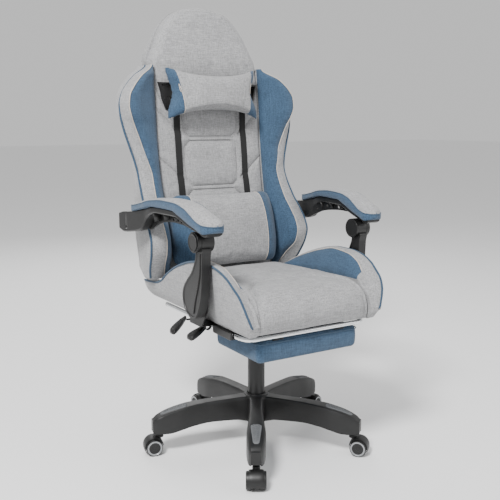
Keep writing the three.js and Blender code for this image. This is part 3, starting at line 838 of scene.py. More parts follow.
def along(row, step):
    """Points at a step along a run of straight pieces."""
    points = []
    for a, b in zip(row[:-1], row[1:]):
        a, b = Vector(a), Vector(b)
        count = max(2, int((b - a).length / step))
        points += [tuple(a.lerp(b, k / count)) for k in range(count)]
    return points + [row[-1]]


def build_back(looks):
    panel = back_panel()
    settle(panel, "back", "grey_fabric", "back_cushion", fill=0.8)
    cover = rear_cover()
    settle(cover, "back", "grey_fabric", "back_shell", fill=0.5)
    up = [(-(back_half(z) - 7), z) for z in spread(1150, CREST, 60)]
    corner = up[-1][0]
    over = up + [(x, CREST + 13 * math.sqrt(max(0.0, 1 - (x / corner) ** 2)))
                 for x in spread(corner, -corner, 40)[1:-1]]
    over += [(-x, z) for x, z in reversed(up)]
    rows = [[(0, 774), (76, 774), (101, 749), (102, 700)], [(0, 927), (78, 927), (100, 949), (103, 985)],
            [(183, 876), (109, 808)], [(183, 1024), (108, 950)]]
    lines = [[(flip * x, front_y(flip * x, z) - 0.4, z) for x, z in along(row, 5)]
             for row in rows for flip in (1, -1)]
    stitches("back_stitches", lines, "back", "grey_fabric", looks)
    seam = tube("head_seam", [(x, front_y(x, z) - 0.2, z) for x, z in over], 1.1, THREAD, sides=6)
    settle(seam, "back", "grey_fabric")


def build_wings(looks):
    for label, side in SIDES.items():
        counts = [len(part) for part in wing_section(BACK_LOW)]
        thing = wing(label, side)
        blue_faces = counts[0] - 1
        paint(thing, sum(counts), lambda row, column: 0 if row < WING_ROWS - 1 and column < blue_faces else 1)
        settle(thing, "back", "blue_fabric", f"back_wing_{label}", fill=0.75)
        welt, seam = [], []
        for z in spread(512, WING_TOP, 140):
            ridge, edge = smooth(RIDGE, z), smooth(PIPING, z)
            welt.append((side * (edge[0] + 0.5), edge[1] - 0.5, z))
            seam.append((side * ridge[0], ridge[1] - 0.4, z))
        radius = looks.piping_diameter / 2
        piping = tube(f"back_wing_{label}_piping", welt, radius, WELT)
        settle(piping, "back", "blue_fabric")
        line = tube(f"back_wing_{label}_seam", seam, 1.5, EDGE, sides=8)
        settle(line, "back", "grey_fabric")


# ---------------------------------------------------------------- pillows and straps
def pillow(name, half_width, top, bottom, thick, gap, power):
    """A stuffed pillow before the back panel; top, bottom and thick are functions of the place across."""
    rings = []
    for u in spread(-1, 1, 61):
        x = half_width * math.sin(u * math.pi / 2)
        t = abs(x) / half_width
        high, low = top(t), bottom(t)
        middle, half = (high + low) / 2, (high - low) / 2
        depth = thick(t)
        ring = []
        for angle in turns(56):
            w = flatten(math.sin(angle), 2 / power)
            z = middle + half * flatten(math.cos(angle), 2 / power)
            face = smooth(BACK_FACE, z)[0] - gap
            ring.append((x, face - depth * 0.5 + depth * 0.5 * w, z))
        rings.append(ring)
    return loft(name, rings, GREY, BLUE)


def two_tone(thing, column):
    """Blue beyond the seam at column(z), grey between the two seams; face by face, so the line steps."""
    for polygon in thing.data.polygons:
        middle = (polygon.center - COLUMN) / MM
        polygon.material_index = 1 if abs(middle.x) > column(middle.z) else 0


def snap_to_seam(thing, column, reach=1.7):
    """Moves the vertices nearest the seam onto it, so that the colours meet nearer to one line."""
    for vertex in thing.data.vertices:
        point = (vertex.co - COLUMN) / MM
        target = column(point.z)
        off = abs(point.x) - target
        if abs(off) < reach:
            vertex.co.x -= math.copysign(off, point.x) * MM


def build_lumbar_pillow(looks):
    top = lambda t: 760 - 22 * max(0.0, (t - 0.82) / 0.18) ** 2
    bottom = lambda t: 531 + 20 * max(0.0, (t - 0.82) / 0.18) ** 2
    thick = lambda t: 76 * max(0.02, 1 - t**9) ** 0.5
    thing = pillow("lumbar_pillow_cushion", 189, top, bottom, thick, 8, power=2.7)
    inflate(thing, 3.5, 6)
    column = lambda z: 120 + 12 * math.cos((z - 648) / 112 * 1.25)
    finish_pillow(thing, column, (165, 648), "lumbar_pillow", looks)


def build_head_pillow(looks):
    top = lambda t: 1130 + 25 * t**2.2
    bottom = lambda t: 1016 - 30 * t**2.4
    thick = lambda t: 62 * (1 - 0.5 * t**2) * max(0.04, 1 - t**9) ** 0.5
    thing = pillow("head_pillow_cushion", 165, top, bottom, thick, 18, power=2.6)
    for vertex in thing.data.vertices:
        point = (vertex.co - COLUMN) / MM
        waist = math.exp(-(((point.z - 1076) / 42) ** 2))
        t = min(1.0, abs(point.x) / 165)
        vertex.co.x -= math.copysign(20 * waist * t**2, point.x) * MM
    inflate(thing, 3.0, 5)
    column = lambda z: smooth([(980, 112), (1000, 115), (1076, 123), (1145, 138), (1170, 143)], z)[0]
    finish_pillow(thing, column, (238, 1073), "head_pillow", looks)


def finish_pillow(thing, column, middle, node, looks):
    thing.modifiers.new("finer", "SUBSURF").levels = 1
    thing.modifiers["finer"].render_levels = 1
    finish_modifiers(thing)
    snap_to_seam(thing, column)
    two_tone(thing, column)
    settle(thing, "back", "grey_fabric", node, fill=0.85)
    for label, side in SIDES.items():
        line = wrapped_loop(thing, middle, lambda z: side * column(z))
        welt = tube(f"{node}_seam_{label}", line, 1.3, EDGE, sides=8, closed=True)
        settle(welt, "back", "grey_fabric")


def build_straps(looks):
    for label, side in SIDES.items():
        rings = []
        for z in spread(690, 1062, 90):
            y = min(front_y(side * x, z) for x in (110, 120, 130)) - 2.2
            turn = max(0.0, (z - 1034) / 28)
            y += 30 * turn**2
            x = 120 + 8 * turn
            rings.append([(side * (x - 11), y, z), (side * (x + 11), y, z), (side * (x + 11), y + 1.6, z),
                          (side * (x - 11), y + 1.6, z)])
        thing = with_bevel(loft(f"elastic_strap_{label}", rings, WEBBING), 0.4, 2)
        settle(thing, "back", "elastic_webbing", f"strap_{label}")


# ---------------------------------------------------------------- seat
CUSHION_SIDE = [(0, 166, 470), (20, 166, 500), (45, 158, 520), (90, 110, 526), (200, 0, 531),
                (320, -120, 536), (400, -200, 537), (450, -248, 531), (485, -280, 516), (510, -297, 495),
                (540, -306, 467), (562, -304, 446), (580, -296, 430)]
CUSHION_SEAMS = as_lines([
    [(0, 326), (90, 326), (146, 402), (172, 500), (176, 560)],
    [(0, 205), (108, 203), (184, 262)],
    [(184, 0), (184, 580)],
])


def cushion_point(x, s):
    """A point of the quilted seat, s millimetres along its side profile from the rear."""
    y, z = smooth(CUSHION_SIDE, s)
    y1, z1 = smooth(CUSHION_SIDE, min(580, s + 2))
    y0, z0 = smooth(CUSHION_SIDE, max(0, s - 2))
    tangent = Vector((y1 - y0, z1 - z0)).normalized()
    normal = Vector((tangent.y, -tangent.x))
    if normal.y < 0 and s < 400 or normal.x > 0 and s >= 400:
        normal = -normal
    ends = min(1.0, min(s, 580 - s) / 60)
    swell = quilt(seam_distance(x, s, CUSHION_SEAMS), 13, 13, 4, 4) * ends - 6 + ripple(x, s, 0, 1.5)
    return (x, y + normal.x * swell, z + normal.y * swell)


def build_seat_cushion(looks):
    rings = []
    half = 184.0
    stations = spread(0, 580, 150)
    for x in (half * math.sin(a) for a in spread(-QUARTER_TURN, QUARTER_TURN, 90)):
        ring = [cushion_point(x, s) for s in stations]
        ring.append((x, -255, 437))
        ring.append((x, 120, 437))
        rings.append(ring)
    thing = loft("seat_cushion_cover", rings, GREY)
    settle(thing, "seat", "grey_fabric", "seat_cushion", fill=0.85)
    rows = [[(0, 331), (88, 331), (141, 402), (166, 500)], [(0, 210), (107, 208), (178, 262)]]
    lines = [[cushion_point(flip * u, v) for u, v in along(row, 5)] for row in rows for flip in (1, -1)]
    lines = [[(x, y, z + 0.4) for x, y, z in line] for line in lines]
    stitches("seat_stitches", lines, "seat", "grey_fabric", looks)


INNER_SEAM = [(-318, 470), (-300, 520), (-242, 536), (-60, 530), (32, 524), (136, 519), (284, 480)]


def bolster_section(y):
    """Outline of the seat bolster at depth y on the sitter's left: outer side, top band, inner panel."""
    edge = Vector(smooth(BOLSTER_EDGE, y))
    ridge = Vector(smooth(BOLSTER_RIDGE, y))
    nose = max(0.0, (-290 - y) / 28)
    foot = 431 + 26 * nose**2
    inner_top = min(smooth(INNER_SEAM, y)[0], ridge.y - 2)
    inner_x = CENTRE_HALF
    outer_foot = Vector((205, foot))
    outer = []
    for t in spread(0, 1, 22):
        point = outer_foot.lerp(edge, t)
        bow = 9 * math.sin(math.pi * t) ** 0.8
        point = point + Vector((bow * 0.9, -bow * 0.3))
        point.x = min(point.x, 245.0)
        outer.append(point)
    top = []
    for t in spread(0, 1, 12)[1:]:
        point = edge.lerp(ridge, t)
        top.append(point + Vector((0, 4.5 * math.sin(math.pi * t) ** 0.7)))
    panel = []
    seam = Vector((inner_x, inner_top))
    for t in spread(0, 1, 18)[1:]:
        point = ridge.lerp(seam, t)
        reach = min(t, 1 - t) * (ridge - seam).length
        swell = 6 * (1 - math.exp(-reach / 8))
        point = point + Vector((-swell, 0.3 * swell))
        point.x = max(point.x, inner_x)
        panel.append(point)
    under = [Vector((inner_x, inner_top)).lerp(Vector((inner_x, foot)), t) for t in spread(0, 1, 8)[1:]]
    return outer, top, panel, under


def build_bolsters(looks):
    stations = spread(-318, 284, 150)
    for label, side in SIDES.items():
        rings = []
        for y in stations:
            parts = bolster_section(y)
            ring = []
            for point in sum(parts, []):
                swell = ripple(point.x, y, point.y, 1.0, 60)
                ring.append((side * min(245.4, point.x + swell), y, point.y))
            rings.append(ring)
        thing = loft(f"seat_bolster_{label}_cover", rings, GREY, BLUE)
        outer, top, panel, _ = (len(part) for part in parts)

        def tone(row, column):
            in_panel = outer + top - 1 <= column < outer + top + panel - 1
            return 1 if in_panel and row < len(stations) - 1 and -246 < stations[row] < 170 else 0

        paint(thing, len(rings[0]), tone)
        settle(thing, "seat", "grey_fabric", f"seat_bolster_{label}", fill=0.8)
        welt = [(side * smooth(BOLSTER_EDGE, y)[0], y, smooth(BOLSTER_EDGE, y)[1])
                for y in spread(-318, 282, 120)]
        nose = [(side * 190, -290, 437), (side * 196, -302, 446), (side * 206, -313, 457)]
        line = bend([*nose, welt[0]], 14)[:-1] + [Vector(p) for p in welt]
        piping = tube(f"seat_bolster_{label}_piping", line, looks.piping_diameter / 2 * 0.9, WELT)
        settle(piping, "seat", "blue_fabric")
        seam = [(side * (smooth(BOLSTER_RIDGE, y)[0]), y, smooth(BOLSTER_RIDGE, y)[1] + 0.6)
                for y in spread(-246, 170, 90)]
        edge = tube(f"seat_bolster_{label}_seam", seam, 1.4, EDGE, sides=8)
        settle(edge, "seat", "grey_fabric")


# ---------------------------------------------------------------- armrests
def arm_centre(y):
    return 256 + (y + 300) * (54 / 490)


def pad_half(y):
    taper = smooth([(-236, 33), (70, 33), (100, 28.5), (130, 24.5), (170, 20), (187, 14)], y)[0]
    front = clamp((-203 - y) / 33)
    rear = clamp((y - 175) / 12)
    return max(1.5, taper * math.sqrt(max(0.0, 1 - front**2)) * math.sqrt(max(0.02, 1 - 0.7 * rear**2)))


def build_arm_pads(looks):
    nose = [-203 - 33 * math.sin(a) for a in reversed(spread(0.1, math.pi / 2, 18))]
    for label, side in SIDES.items():
        rings = []
        welts = {1: [], -1: []}
        for y in nose + spread(-200, 187, 90):
            x, half = arm_centre(y), pad_half(y)
            low, edge, high = smooth(PAD_FLOOR, y)[0], smooth(PAD_EDGE, y)[0], smooth(PAD_TOP, y)[0]
            height = edge - low
            rise = [(0.95, 0.04), (1.0, 0.22), (1.02, 0.5), (1.01, 0.78), (0.97, 0.96)]
            ring = [(x - half * 0.88, low), (x, low), (x + half * 0.88, low)]
            ring += [(x + half * a, low + height * b) for a, b in rise]
            for t in spread(1, -1, 25)[1:-1]:
                ring.append((x + half * 0.95 * t, edge + (high - edge) * (1 - abs(t) ** 2.6) ** 0.75))
            ring += [(x - half * a, low + height * b) for a, b in reversed(rise)]
            rings.append([(side * px, y, z) for px, z in ring])
            for way in welts:
                welts[way].append((side * (x + way * half * 0.97), y, edge))
        thing = loft(f"armrest_pad_{label}_cover", rings, GREY, BLUE)
        last = len(rings) - 1
        paint(thing, len(rings[0]), lambda row, column: 0 if 7 <= column <= 30 and row < last else 1)
        settle(thing, f"arm_{label}", "grey_fabric", f"armrest_pad_{label}", fill=0.9)
        line = welts[1] + list(reversed(welts[-1]))
        welt = tube(f"armrest_pad_{label}_welt", line, 1.5, WELT, sides=8, closed=True)
        settle(welt, f"arm_{label}", "blue_fabric")


FLANGE_FLOOR = [(-222, 695), (-212, 690), (-200, 690), (-182, 697), (-153, 702), (-124, 710), (-96, 720),
                (-65, 729), (30, 730), (90, 712), (131, 672), (187, 660), (237, 655), (258, 661)]
FLANGE_TOP = [(-222, 701), (-212, 698.2), (-200, 699.6), (-182, 706.6), (-153, 714.8), (-96, 736),
              (-65, 745.5), (30, 747), (110, 734), (187, 721), (237, 716), (258, 711)]


def arm_beam(side):
    rings = []
    for y in spread(-222, 258, 90):
        x = arm_centre(y)
        low, high = smooth(FLANGE_FLOOR, y)[0], smooth(FLANGE_TOP, y)[0]
        half = smooth([(-222, 23), (50, 23), (110, 15.5), (258, 15)], y)[0]
        half = min(half, pad_half(y) - 2 if y < 0 else 23)
        ease = min(4.0, (high - low) / 3)
        ring = [(x - half + ease, low), (x + half - ease, low), (x + half, low + ease),
                (x + half, high - ease / 2), (x + half - ease / 2, high), (x - half + ease / 2, high),
                (x - half, high - ease / 2), (x - half, low + ease)]
        rings.append([(side * px, y, z) for px, z in ring])
    return with_bevel(creased(loft("beam", rings, POLYPROPYLENE), 40), 1.5, 2, 30)


def pierced(name, outline, holes, low, high, material):
    """A plate along X between two depths, with holes through it."""
    work = bmesh.new()
    edges = []
    for loop in [outline, *holes]:
        ring = [work.verts.new(place(low, u, v)) for u, v in loop]
        edges += [work.edges.new((a, b)) for a, b in zip(ring, ring[1:] + ring[:1])]
    bmesh.ops.triangle_fill(work, use_beauty=True, edges=edges)
    grown = bmesh.ops.extrude_face_region(work, geom=list(work.faces), use_keep_orig=True)
    bmesh.ops.translate(work, vec=((high - low) * MM, 0, 0), verts=only_verts(grown))
    bmesh.ops.recalc_face_normals(work, faces=work.faces)
    return take_mesh(name, work, [MATERIALS[material]])


def arm_web(side):
    """The ribbed web under the arch, with its row of round holes."""
    low = [(-140, 702), (-124, 705), (-90, 709), (-46, 710), (0, 707), (46, 700), (90, 685), (135, 669)]
    x = arm_centre(-30)
    ahead = spread(-140, 134, 60)
    outline = [(y, smooth(low, y)[0]) for y in ahead]
    outline += [(y, smooth(FLANGE_FLOOR, y)[0] + 3) for y in reversed(ahead)]
    holes = [circle(y, z, radius, 24) for y, z, radius in ((-81, 717, 4.8), (-32, 719.5, 6), (25, 717, 5),
                                                           (77, 703, 3.8))]
    ribs = [pierced("web", outline, holes, *side_span(side, x - 2.5, x + 2.5), POLYPROPYLENE)]
    for y in (-124, -106, -57, -4, 51, 98):
        top, bottom = smooth(FLANGE_FLOOR, y)[0] + 2, smooth(low, y)[0] + 1
        centre = arm_centre(y)
        reach = 13 if y > 60 else 20
        corners = ((-12, bottom + 4), (12, bottom + 4), (reach, top), (-reach, top))
        rings = [[(side * (centre + dx), y + dy, z) for dx, z in corners] for dy in (-0.9, 0.9)]
        ribs.append(loft("rib", rings, POLYPROPYLENE))
    return join("web", ribs)


def disc_plate(name, radius, low, high, side, inset):
    return slab(name, circle(*ARM_PIVOT, radius, 64), *side_span(side, low, high), "X", POLYPROPYLENE,
                inset=inset, raise_by=-1.0, bevel=1.5)


def build_arm_frames(looks):
    ear = [(-177, 706), (-178, 690), (-177, 670), (-123, 670), (-122, 690), (-123, 706)]
    for label, side in SIDES.items():
        plate = slab("ear", ear, *side_span(side, LUG_IN, LUG_OUT), "X", POLYPROPYLENE)
        lug = disc_plate("lug", 28, LUG_IN, LUG_OUT + 0.3, side, 4)
        thing = join(f"armrest_frame_{label}_shell", [arm_beam(side), arm_web(side), plate, lug])
        cut(thing, slab("pin hole", circle(*ARM_PIN, 7, 32), *side_span(side, 280, 340), "X", POLYPROPYLENE,
                        bevel=0))
        settle(thing, f"arm_{label}", "nylon", f"armrest_frame_{label}")
        cap = disc_plate(f"pivot_cap_{label}_cover", 24, 290.4, 293.4, side, 3)
        settle(cap, f"arm_{label}", "nylon", f"pivot_cap_{label}")


def build_posts(looks):
    side_view = [(-177, 655), (-175, 632), (-174, 610), (-172, 575), (-170, 545), (-165, 520), (-157, 498),
                 (-145, 474), (-130, 458), (-112, 456), (-92, 460), (-74, 470), (-62, 488), (-58, 512),
                 (-66, 536), (-88, 560), (-112, 582), (-130, 610), (-139, 632), (-142, 655)]
    outline = [tuple(p)[:2] for p in bend([(u, v, 0) for u, v in side_view], 120, closed=True)]
    for label, side in SIDES.items():
        post = slab("post", outline, *side_span(side, POST_IN, POST_OUT), "X", POLYPROPYLENE, inset=4.5,
                    raise_by=-1.6, bevel=2.5)
        head = disc_plate("head", 28, 240.2, POST_OUT, side, 4)
        rib_path = [(-165, 640), (-161, 590), (-148, 545), (-132, 505), (-122, 470)]
        line = bend([(side * RIB_OUT, y, z) for y, z in rib_path], 40)
        rib = tube("rib", line, 1.8, POLYPROPYLENE, sides=8)
        thing = creased(join(f"armrest_post_{label}_shell", [post, head, rib]), 38)
        settle(thing, f"post_{label}", "nylon", f"armrest_post_{label}")


# ---------------------------------------------------------------- levers
def lever(name, node, arm, root, tip, body):
    rings = []
    for x, y, z in bend(arm, 40):
        rings.append([(x, y - 5, z - 2), (x, y + 5, z - 2), (x, y + 5, z + 2), (x, y - 5, z + 2)])
    rod = with_bevel(loft("arm", rings, BLACK_STEEL), 1, 2)
    root, tip = Vector(root), Vector(tip)
    rings = []
    for t in spread(0, 1, 40):
        half = smooth([(0, 7), (0.15, 9), (0.4, 14), (0.75, 17), (0.92, 16.5), (1, 13)], t)[0]
        thick = smooth([(0, 6), (0.3, 8.5), (0.8, 9.5), (1, 7)], t)[0]
        if t > 0.97:
            half, thick = half * 0.8, thick * 0.6
        centre = root + (tip - root) * t
        ring = []
        for angle in turns(24):
            u = flatten(math.cos(angle), 0.55) * half
            v = flatten(math.sin(angle), 0.7) * thick
            dish = -1.2 * math.exp(-((u / (half * 0.6)) ** 2)) if v > 0 and 0.35 < t < 0.92 else 0
            ring.append((centre.x, centre.y + u, centre.z + v + dish))
        rings.append(ring)
    thing = join(name, [rod, loft("paddle", rings, POLYPROPYLENE)])
    return settle(thing, body, "nylon", node)


def build_levers(looks):
    lever("height_lever_paddle", "height_lever",
          [(6, -8, 402.5), (-30, -14, 402.5), (-90, -26, 402), (-166, -34, 400.5), (-201, -61, 400.5),
           (-217, -68, 409)], (-213, -67, 410), (-274, -84, 391), "height_lever")
    lever("recline_lever_paddle", "recline_lever",
          [(-118, 66, 404), (-160, 63, 402.5), (-201, 60, 402), (-217, 55, 409)], (-213, 56, 410),
          (-274, 26, 381), "recline_lever")


# ---------------------------------------------------------------- footrest
def build_footrest(looks):
    path = [(200, 208 - k * 15, 418) for k in range(29)]
    corner = [(200, -234, 418), (199, -246, 418), (193, -258, 418), (185, -266, 418), (174, -271, 418),
              (162, -272, 418)]
    path += corner + [(x, -272, 418) for x in spread(150, -150, 21)]
    path += [(-x, y, z) for x, y, z in reversed(corner)]
    path += [(-200, 208 - k * 15, 418) for k in range(28, -1, -1)]
    rail = tube("footrest_rail", path, 7, CHROME, sides=28)
    settle(rail, "footrest_frame", "chrome", "footrest_tube")
    for label, side in SIDES.items():
        block = slab("guide", round_rect(-212, -112, 406, 427, 5), *side_span(side, 187, 213.5), "X",
                     POLYPROPYLENE)
        cut(block, tube("bore", [(side * 200, -230, 418), (side * 200, -100, 418)], 7.7, POLYPROPYLENE, 28))
        settle(block, "seat", "nylon", f"footrest_guide_{label}")
        clip = slab(f"footrest_clip_{label}_tab", round_rect(-276, -262, 407, 416, 3),
                    *side_span(side, 86, 119), "X", POLYPROPYLENE, bevel=1)
        cut(clip, tube("bore", [(side * 60, -272, 418), (side * 150, -272, 418)], 7.3, POLYPROPYLENE, 28))
        settle(clip, "footrest_pad", "nylon", f"footrest_clip_{label}")
    rings = []
    for t in spread(0, 1, 34):
        z = 350 + 59 * t
        edge = 1 - 0.9 * math.exp(-min(t, 1 - t) * 16)
        grow = -7 + 7 * edge + 2.0 * math.sin(math.pi * t)
        outline = round_rect(-166 - grow, 166 + grow, -277 - grow, -45 + grow, 16 + grow, 8)
        rings.append([(u, v, z) for u, v in outline])
    low = [[(x * s, -160.5 + (y + 160.5) * s, 350 - 2.5 * (1 - s**2)) for x, y, z in rings[0]]
           for s in (0.2, 0.4, 0.6, 0.8, 0.92)]
    pad = loft("footrest_pad_cover", low + rings, BLUE)
    settle(pad, "footrest_pad", "blue_fabric", "footrest_pad", fill=0.7)
    hem = [(u, v, 403) for u, v in round_rect(-169, 169, -280, -42, 19, 8)]
    welt = tube("footrest_pad_welt", hem, 1.4, WELT, sides=8, closed=True)
    settle(welt, "footrest_pad", "blue_fabric")


# ---------------------------------------------------------------- base, column and casters
LEG_TOP = [(24, 152), (60, 150.5), (148, 147.5), (215, 142), (240, 137), (278, 128), (312, 114), (327, 105)]
LEG_FLOOR = [(24, 74), (70, 82), (150, 85), (205, 80), (240, 73), (280, 65), (318, 64.5), (327, 67)]
LEG_HALF = [(24, 25), (70, 22), (150, 22.5), (205, 25.5), (245, 28), (285, 25.5), (316, 20.5), (327, 15)]


def leg_heading(i):
    return FIRST_LEG + 2 * math.pi * i / LEGS


def turned_points(points, heading):
    c, s = math.cos(heading), math.sin(heading)
    return [(x * c - y * s, x * s + y * c, z) for x, y, z in points]


def leg(heading):
    rings = []
    for r in spread(24, 327, 80):
        half, top, low = smooth(LEG_HALF, r)[0], smooth(LEG_TOP, r)[0], smooth(LEG_FLOOR, r)[0]
        section = [(-1, low), (-0.96, low - 1), (-0.8, low + 2), (0.8, low + 2), (0.96, low - 1), (1, low),
                   (1.0, low + 0.5 * (top - low)), (0.98, top - 12), (0.86, top - 3), (0.74, top - 0.6),
                   (0.62, top), (0, top + 0.6), (-0.62, top), (-0.74, top - 0.6), (-0.86, top - 3),
                   (-0.98, top - 12), (-1.0, low + 0.5 * (top - low))]
        rings.append(turned_points([(r, u * half, z) for u, z in section], heading))
    return loft("leg", rings, NYLON)


def foot_insert(heading):
    """The soft grip let into the top of each leg, a tapering trapezoid with raised chevrons."""
    rings = []
    for r in spread(222, 302, 24):
        t = (r - 222) / 80
        half = 17 - 8 * t
        top = smooth(LEG_TOP, r)[0]
        end = 1 - 0.5 * math.exp(-min(t, 1 - t) * 30)
        section = [(r, -half * end, top - 3), (r, -half * end, top + 0.8), (r, -half * 0.8 * end, top + 1.6),
                   (r, half * 0.8 * end, top + 1.6), (r, half * end, top + 0.8), (r, half * end, top - 3)]
        rings.append(turned_points(section, heading))
    parts = [loft("insert", rings, ELASTOMER)]
    for k in range(8):
        r = 230 + 8.5 * k
        half = (15 - 7.5 * (r - 222) / 80) * 0.72
        line = [(r - 4, -half, smooth(LEG_TOP, r - 4)[0] + 1.9), (r + 3, 0, smooth(LEG_TOP, r + 3)[0] + 1.9),
                (r - 4, half, smooth(LEG_TOP, r - 4)[0] + 1.9)]
        parts.append(tube("chevron", turned_points(line, heading), 1.1, ELASTOMER, sides=6))
    return join("insert", parts)


def build_base(looks):
    hub = lathe("hub", [(26.4, 69), (34, 68), (39, 73), (41, 82), (41, 146), (39.5, 151), (36, 154),
                        (30, 154.6), (28, 153.5), (26.4, 152)], [NYLON], 72)
    ring = lathe("hub ring", [(27, 150), (31, 150), (32.5, 154.5), (31, 157), (28.5, 157), (27, 155)],
                 [NYLON], 72)
    parts = [hub, ring]
    for i in range(LEGS):
        heading = leg_heading(i)
        arm = leg(heading)
        c, s = math.cos(heading) * STEM_AT, math.sin(heading) * STEM_AT
        cut(arm, slab("socket", circle(c, s, 5.9, 24), 50, 96, "Z", NYLON, bevel=0))
        parts.append(arm)
    bore = slab("bore", circle(0, 0, 26.3, 72), 40, 170, "Z", NYLON, bevel=0)
    star = with_bevel(creased(cut(join("star_base_shell", parts), bore), 32), 1.2, 2, 32)
    settle(star, "base", "nylon", "star_base")
    for i in range(LEGS):
        insert = foot_insert(leg_heading(i))
        insert.name = f"leg_{i + 1}_grip"
        settle(insert, "base", "nylon")


def build_column(looks):
    outer = lathe("gas_outer_tube_sleeve", [(5.8, 58), (23, 58), (25.4, 60), (26, 64), (26, 346), (25, 349.5),
                                            (23.4, 350), (23, 349), (23, 64), (5.8, 63.9)], [BLACK_STEEL], 72)
    settle(outer, "base", "black_steel", "gas_outer_tube")
    lift = lathe("pressure_tube_sleeve", [(0.5, 385), (10.5, 385), (10.5, 120), (14, 120), (14, 391),
                                          (11.5, 394.8), (0.5, 395)], [BLACK_STEEL], 56)
    settle(lift, "seat", "black_steel", "pressure_tube")
    bush = lathe("gas_guide_bush_ring", [(14.5, 285), (22.5, 285), (22.5, 348), (20, 350), (15.5, 350),
                                         (14.5, 348.5)], [NYLON], 56)
    settle(bush, "base", "nylon", "gas_guide_bush")


def rim(middle, out, radius, angles):
    """An arc about a wheel's axle, with its angles in degrees up from the outward direction."""
    arc = []
    for angle in (math.radians(a) for a in angles):
        arc.append(middle + out * radius * math.cos(angle) + Vector((0, 0, radius * math.sin(angle))))
    return arc


def caster(i):
    heading = leg_heading(i)
    stem = (STEM_AT * math.cos(heading), STEM_AT * math.sin(heading), 0)
    across = Vector((-math.sin(heading), math.cos(heading), 0))
    out = Vector((math.cos(heading), math.sin(heading), 0))
    centre = Vector((AXLE_AT * math.cos(heading), AXLE_AT * math.sin(heading), 25))
    rings = []
    for t in spread(-20.5, 20.5, 15):
        edge = abs(t) / 20.5
        middle = centre + across * t
        outer = rim(middle, out, 29.6 - 1.8 * edge**4, spread(-18, 172, 26))
        rings.append(outer + rim(middle, out, 26.4, spread(172, -18, 26)))
    verts, faces = skin(rings, caps=False)
    count = len(rings[0])
    for start in (0, (len(rings) - 1) * count):
        for k in range(25):
            faces.append((start + k, start + k + 1, start + count - 2 - k, start + count - 1 - k))
    hood = creased(mesh_object("hood", verts, faces, [NYLON]), 40)
    middles = [centre + across * t for t in (-4.8, 4.8)]
    web = loft("web", [[middle] + rim(middle, out, 27, spread(-15, 172, 26)) for middle in middles], NYLON)
    collar = lathe("collar", [(0.3, 50), (11, 50), (11.5, 52), (10.5, 57), (8, 59.5), (5.5, 60), (5.5, 91),
                              (0.3, 92)], [NYLON], 36, middle=stem)
    housing = join(f"caster_{i + 1}_hood", [hood, web, collar])
    settle(housing, f"caster_{i + 1}_fork", "nylon", f"caster_{i + 1}_housing")
    profile = [(0.3, -5.9), (23, -5.9), (24.6, -6.8), (25, -9), (25, -24.5), (24.2, -27.3), (22, -28.2),
               (20.5, -28.2), (20, -27.6), (17.6, -27.8), (17.2, -27.0), (7.5, -26.2), (7.0, -27.0),
               (0.3, -27.0)]
    wheels = []
    for way in (1, -1):
        wheels.append(lathe("wheel", [(r, way * h) for r, h in profile], [POLYURETHANE, LACQUER, NYLON], 56,
                            across, centre, pick=lambda m: wheel_zone(m, centre, across)))
    axle = lathe("axle", [(0.3, -7), (3.3, -7), (3.3, 7), (0.3, 7)], [ZINC], 20, across, centre)
    thing = creased(join(f"caster_{i + 1}_wheel_pair", wheels + [axle]), 40)
    settle(thing, f"caster_{i + 1}_wheels", "wheel_rubber", f"caster_{i + 1}_wheels")


def wheel_zone(middle, centre, across):
    """Tread, silver ring or inner disc, by distance from the axle on the outer face."""
    off = Vector(middle) - centre
    height = abs(off.dot(across))
    radius = (off - across * off.dot(across)).length
    if height > 25.5 and 17.3 < radius < 21.8:
        return 1
    return 2 if height > 25 and radius <= 17.3 else 0


def build_casters(looks):
    for i in range(LEGS):
        caster(i)


# ---------------------------------------------------------------- carried-over frame pieces
def paint_frame(looks):
    """Gives the CAD nodes that stay visible their finish."""
    finishes = {
        BLACK_STEEL: ["lift_plate", "seat_pan", "recline_lever_bracket"],
        ZINC: ["thrust_bearing", "piston_rod", "release_button"],
    }
    for stem in ("recliner_bracket", "back_bracket", "arm_bracket", "armrest_hinge"):
        finishes[BLACK_STEEL] += [f"{stem}_{label}" for label in SIDES]
    finishes[POLYPROPYLENE] = [f"slot_bezel_{label}" for label in SIDES]
    for material, nodes in finishes.items():
        for name in nodes:
            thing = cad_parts[name]
            thing.data.materials.clear()
            thing.data.materials.append(MATERIALS[material])


# ---------------------------------------------------------------- stage
FLOOR_AT = -0.0006
CAMERA_LENS = 54.1
CAMERA_AT = Vector((-1.1817, -1.8878, 0.9813))
CAMERA_AIM = Vector((0.5158, 0.8401, -0.1676))


def area_light(name, location, target, size, power):
    light = bpy.data.lights.new(name, "AREA")
    light.shape = "DISK"
    light.size = size
    light.energy = power
    thing = link(name, light)
    thing.location = location
    thing.rotation_euler = (Vector(target) - Vector(location)).to_track_quat("-Z", "Y").to_euler()


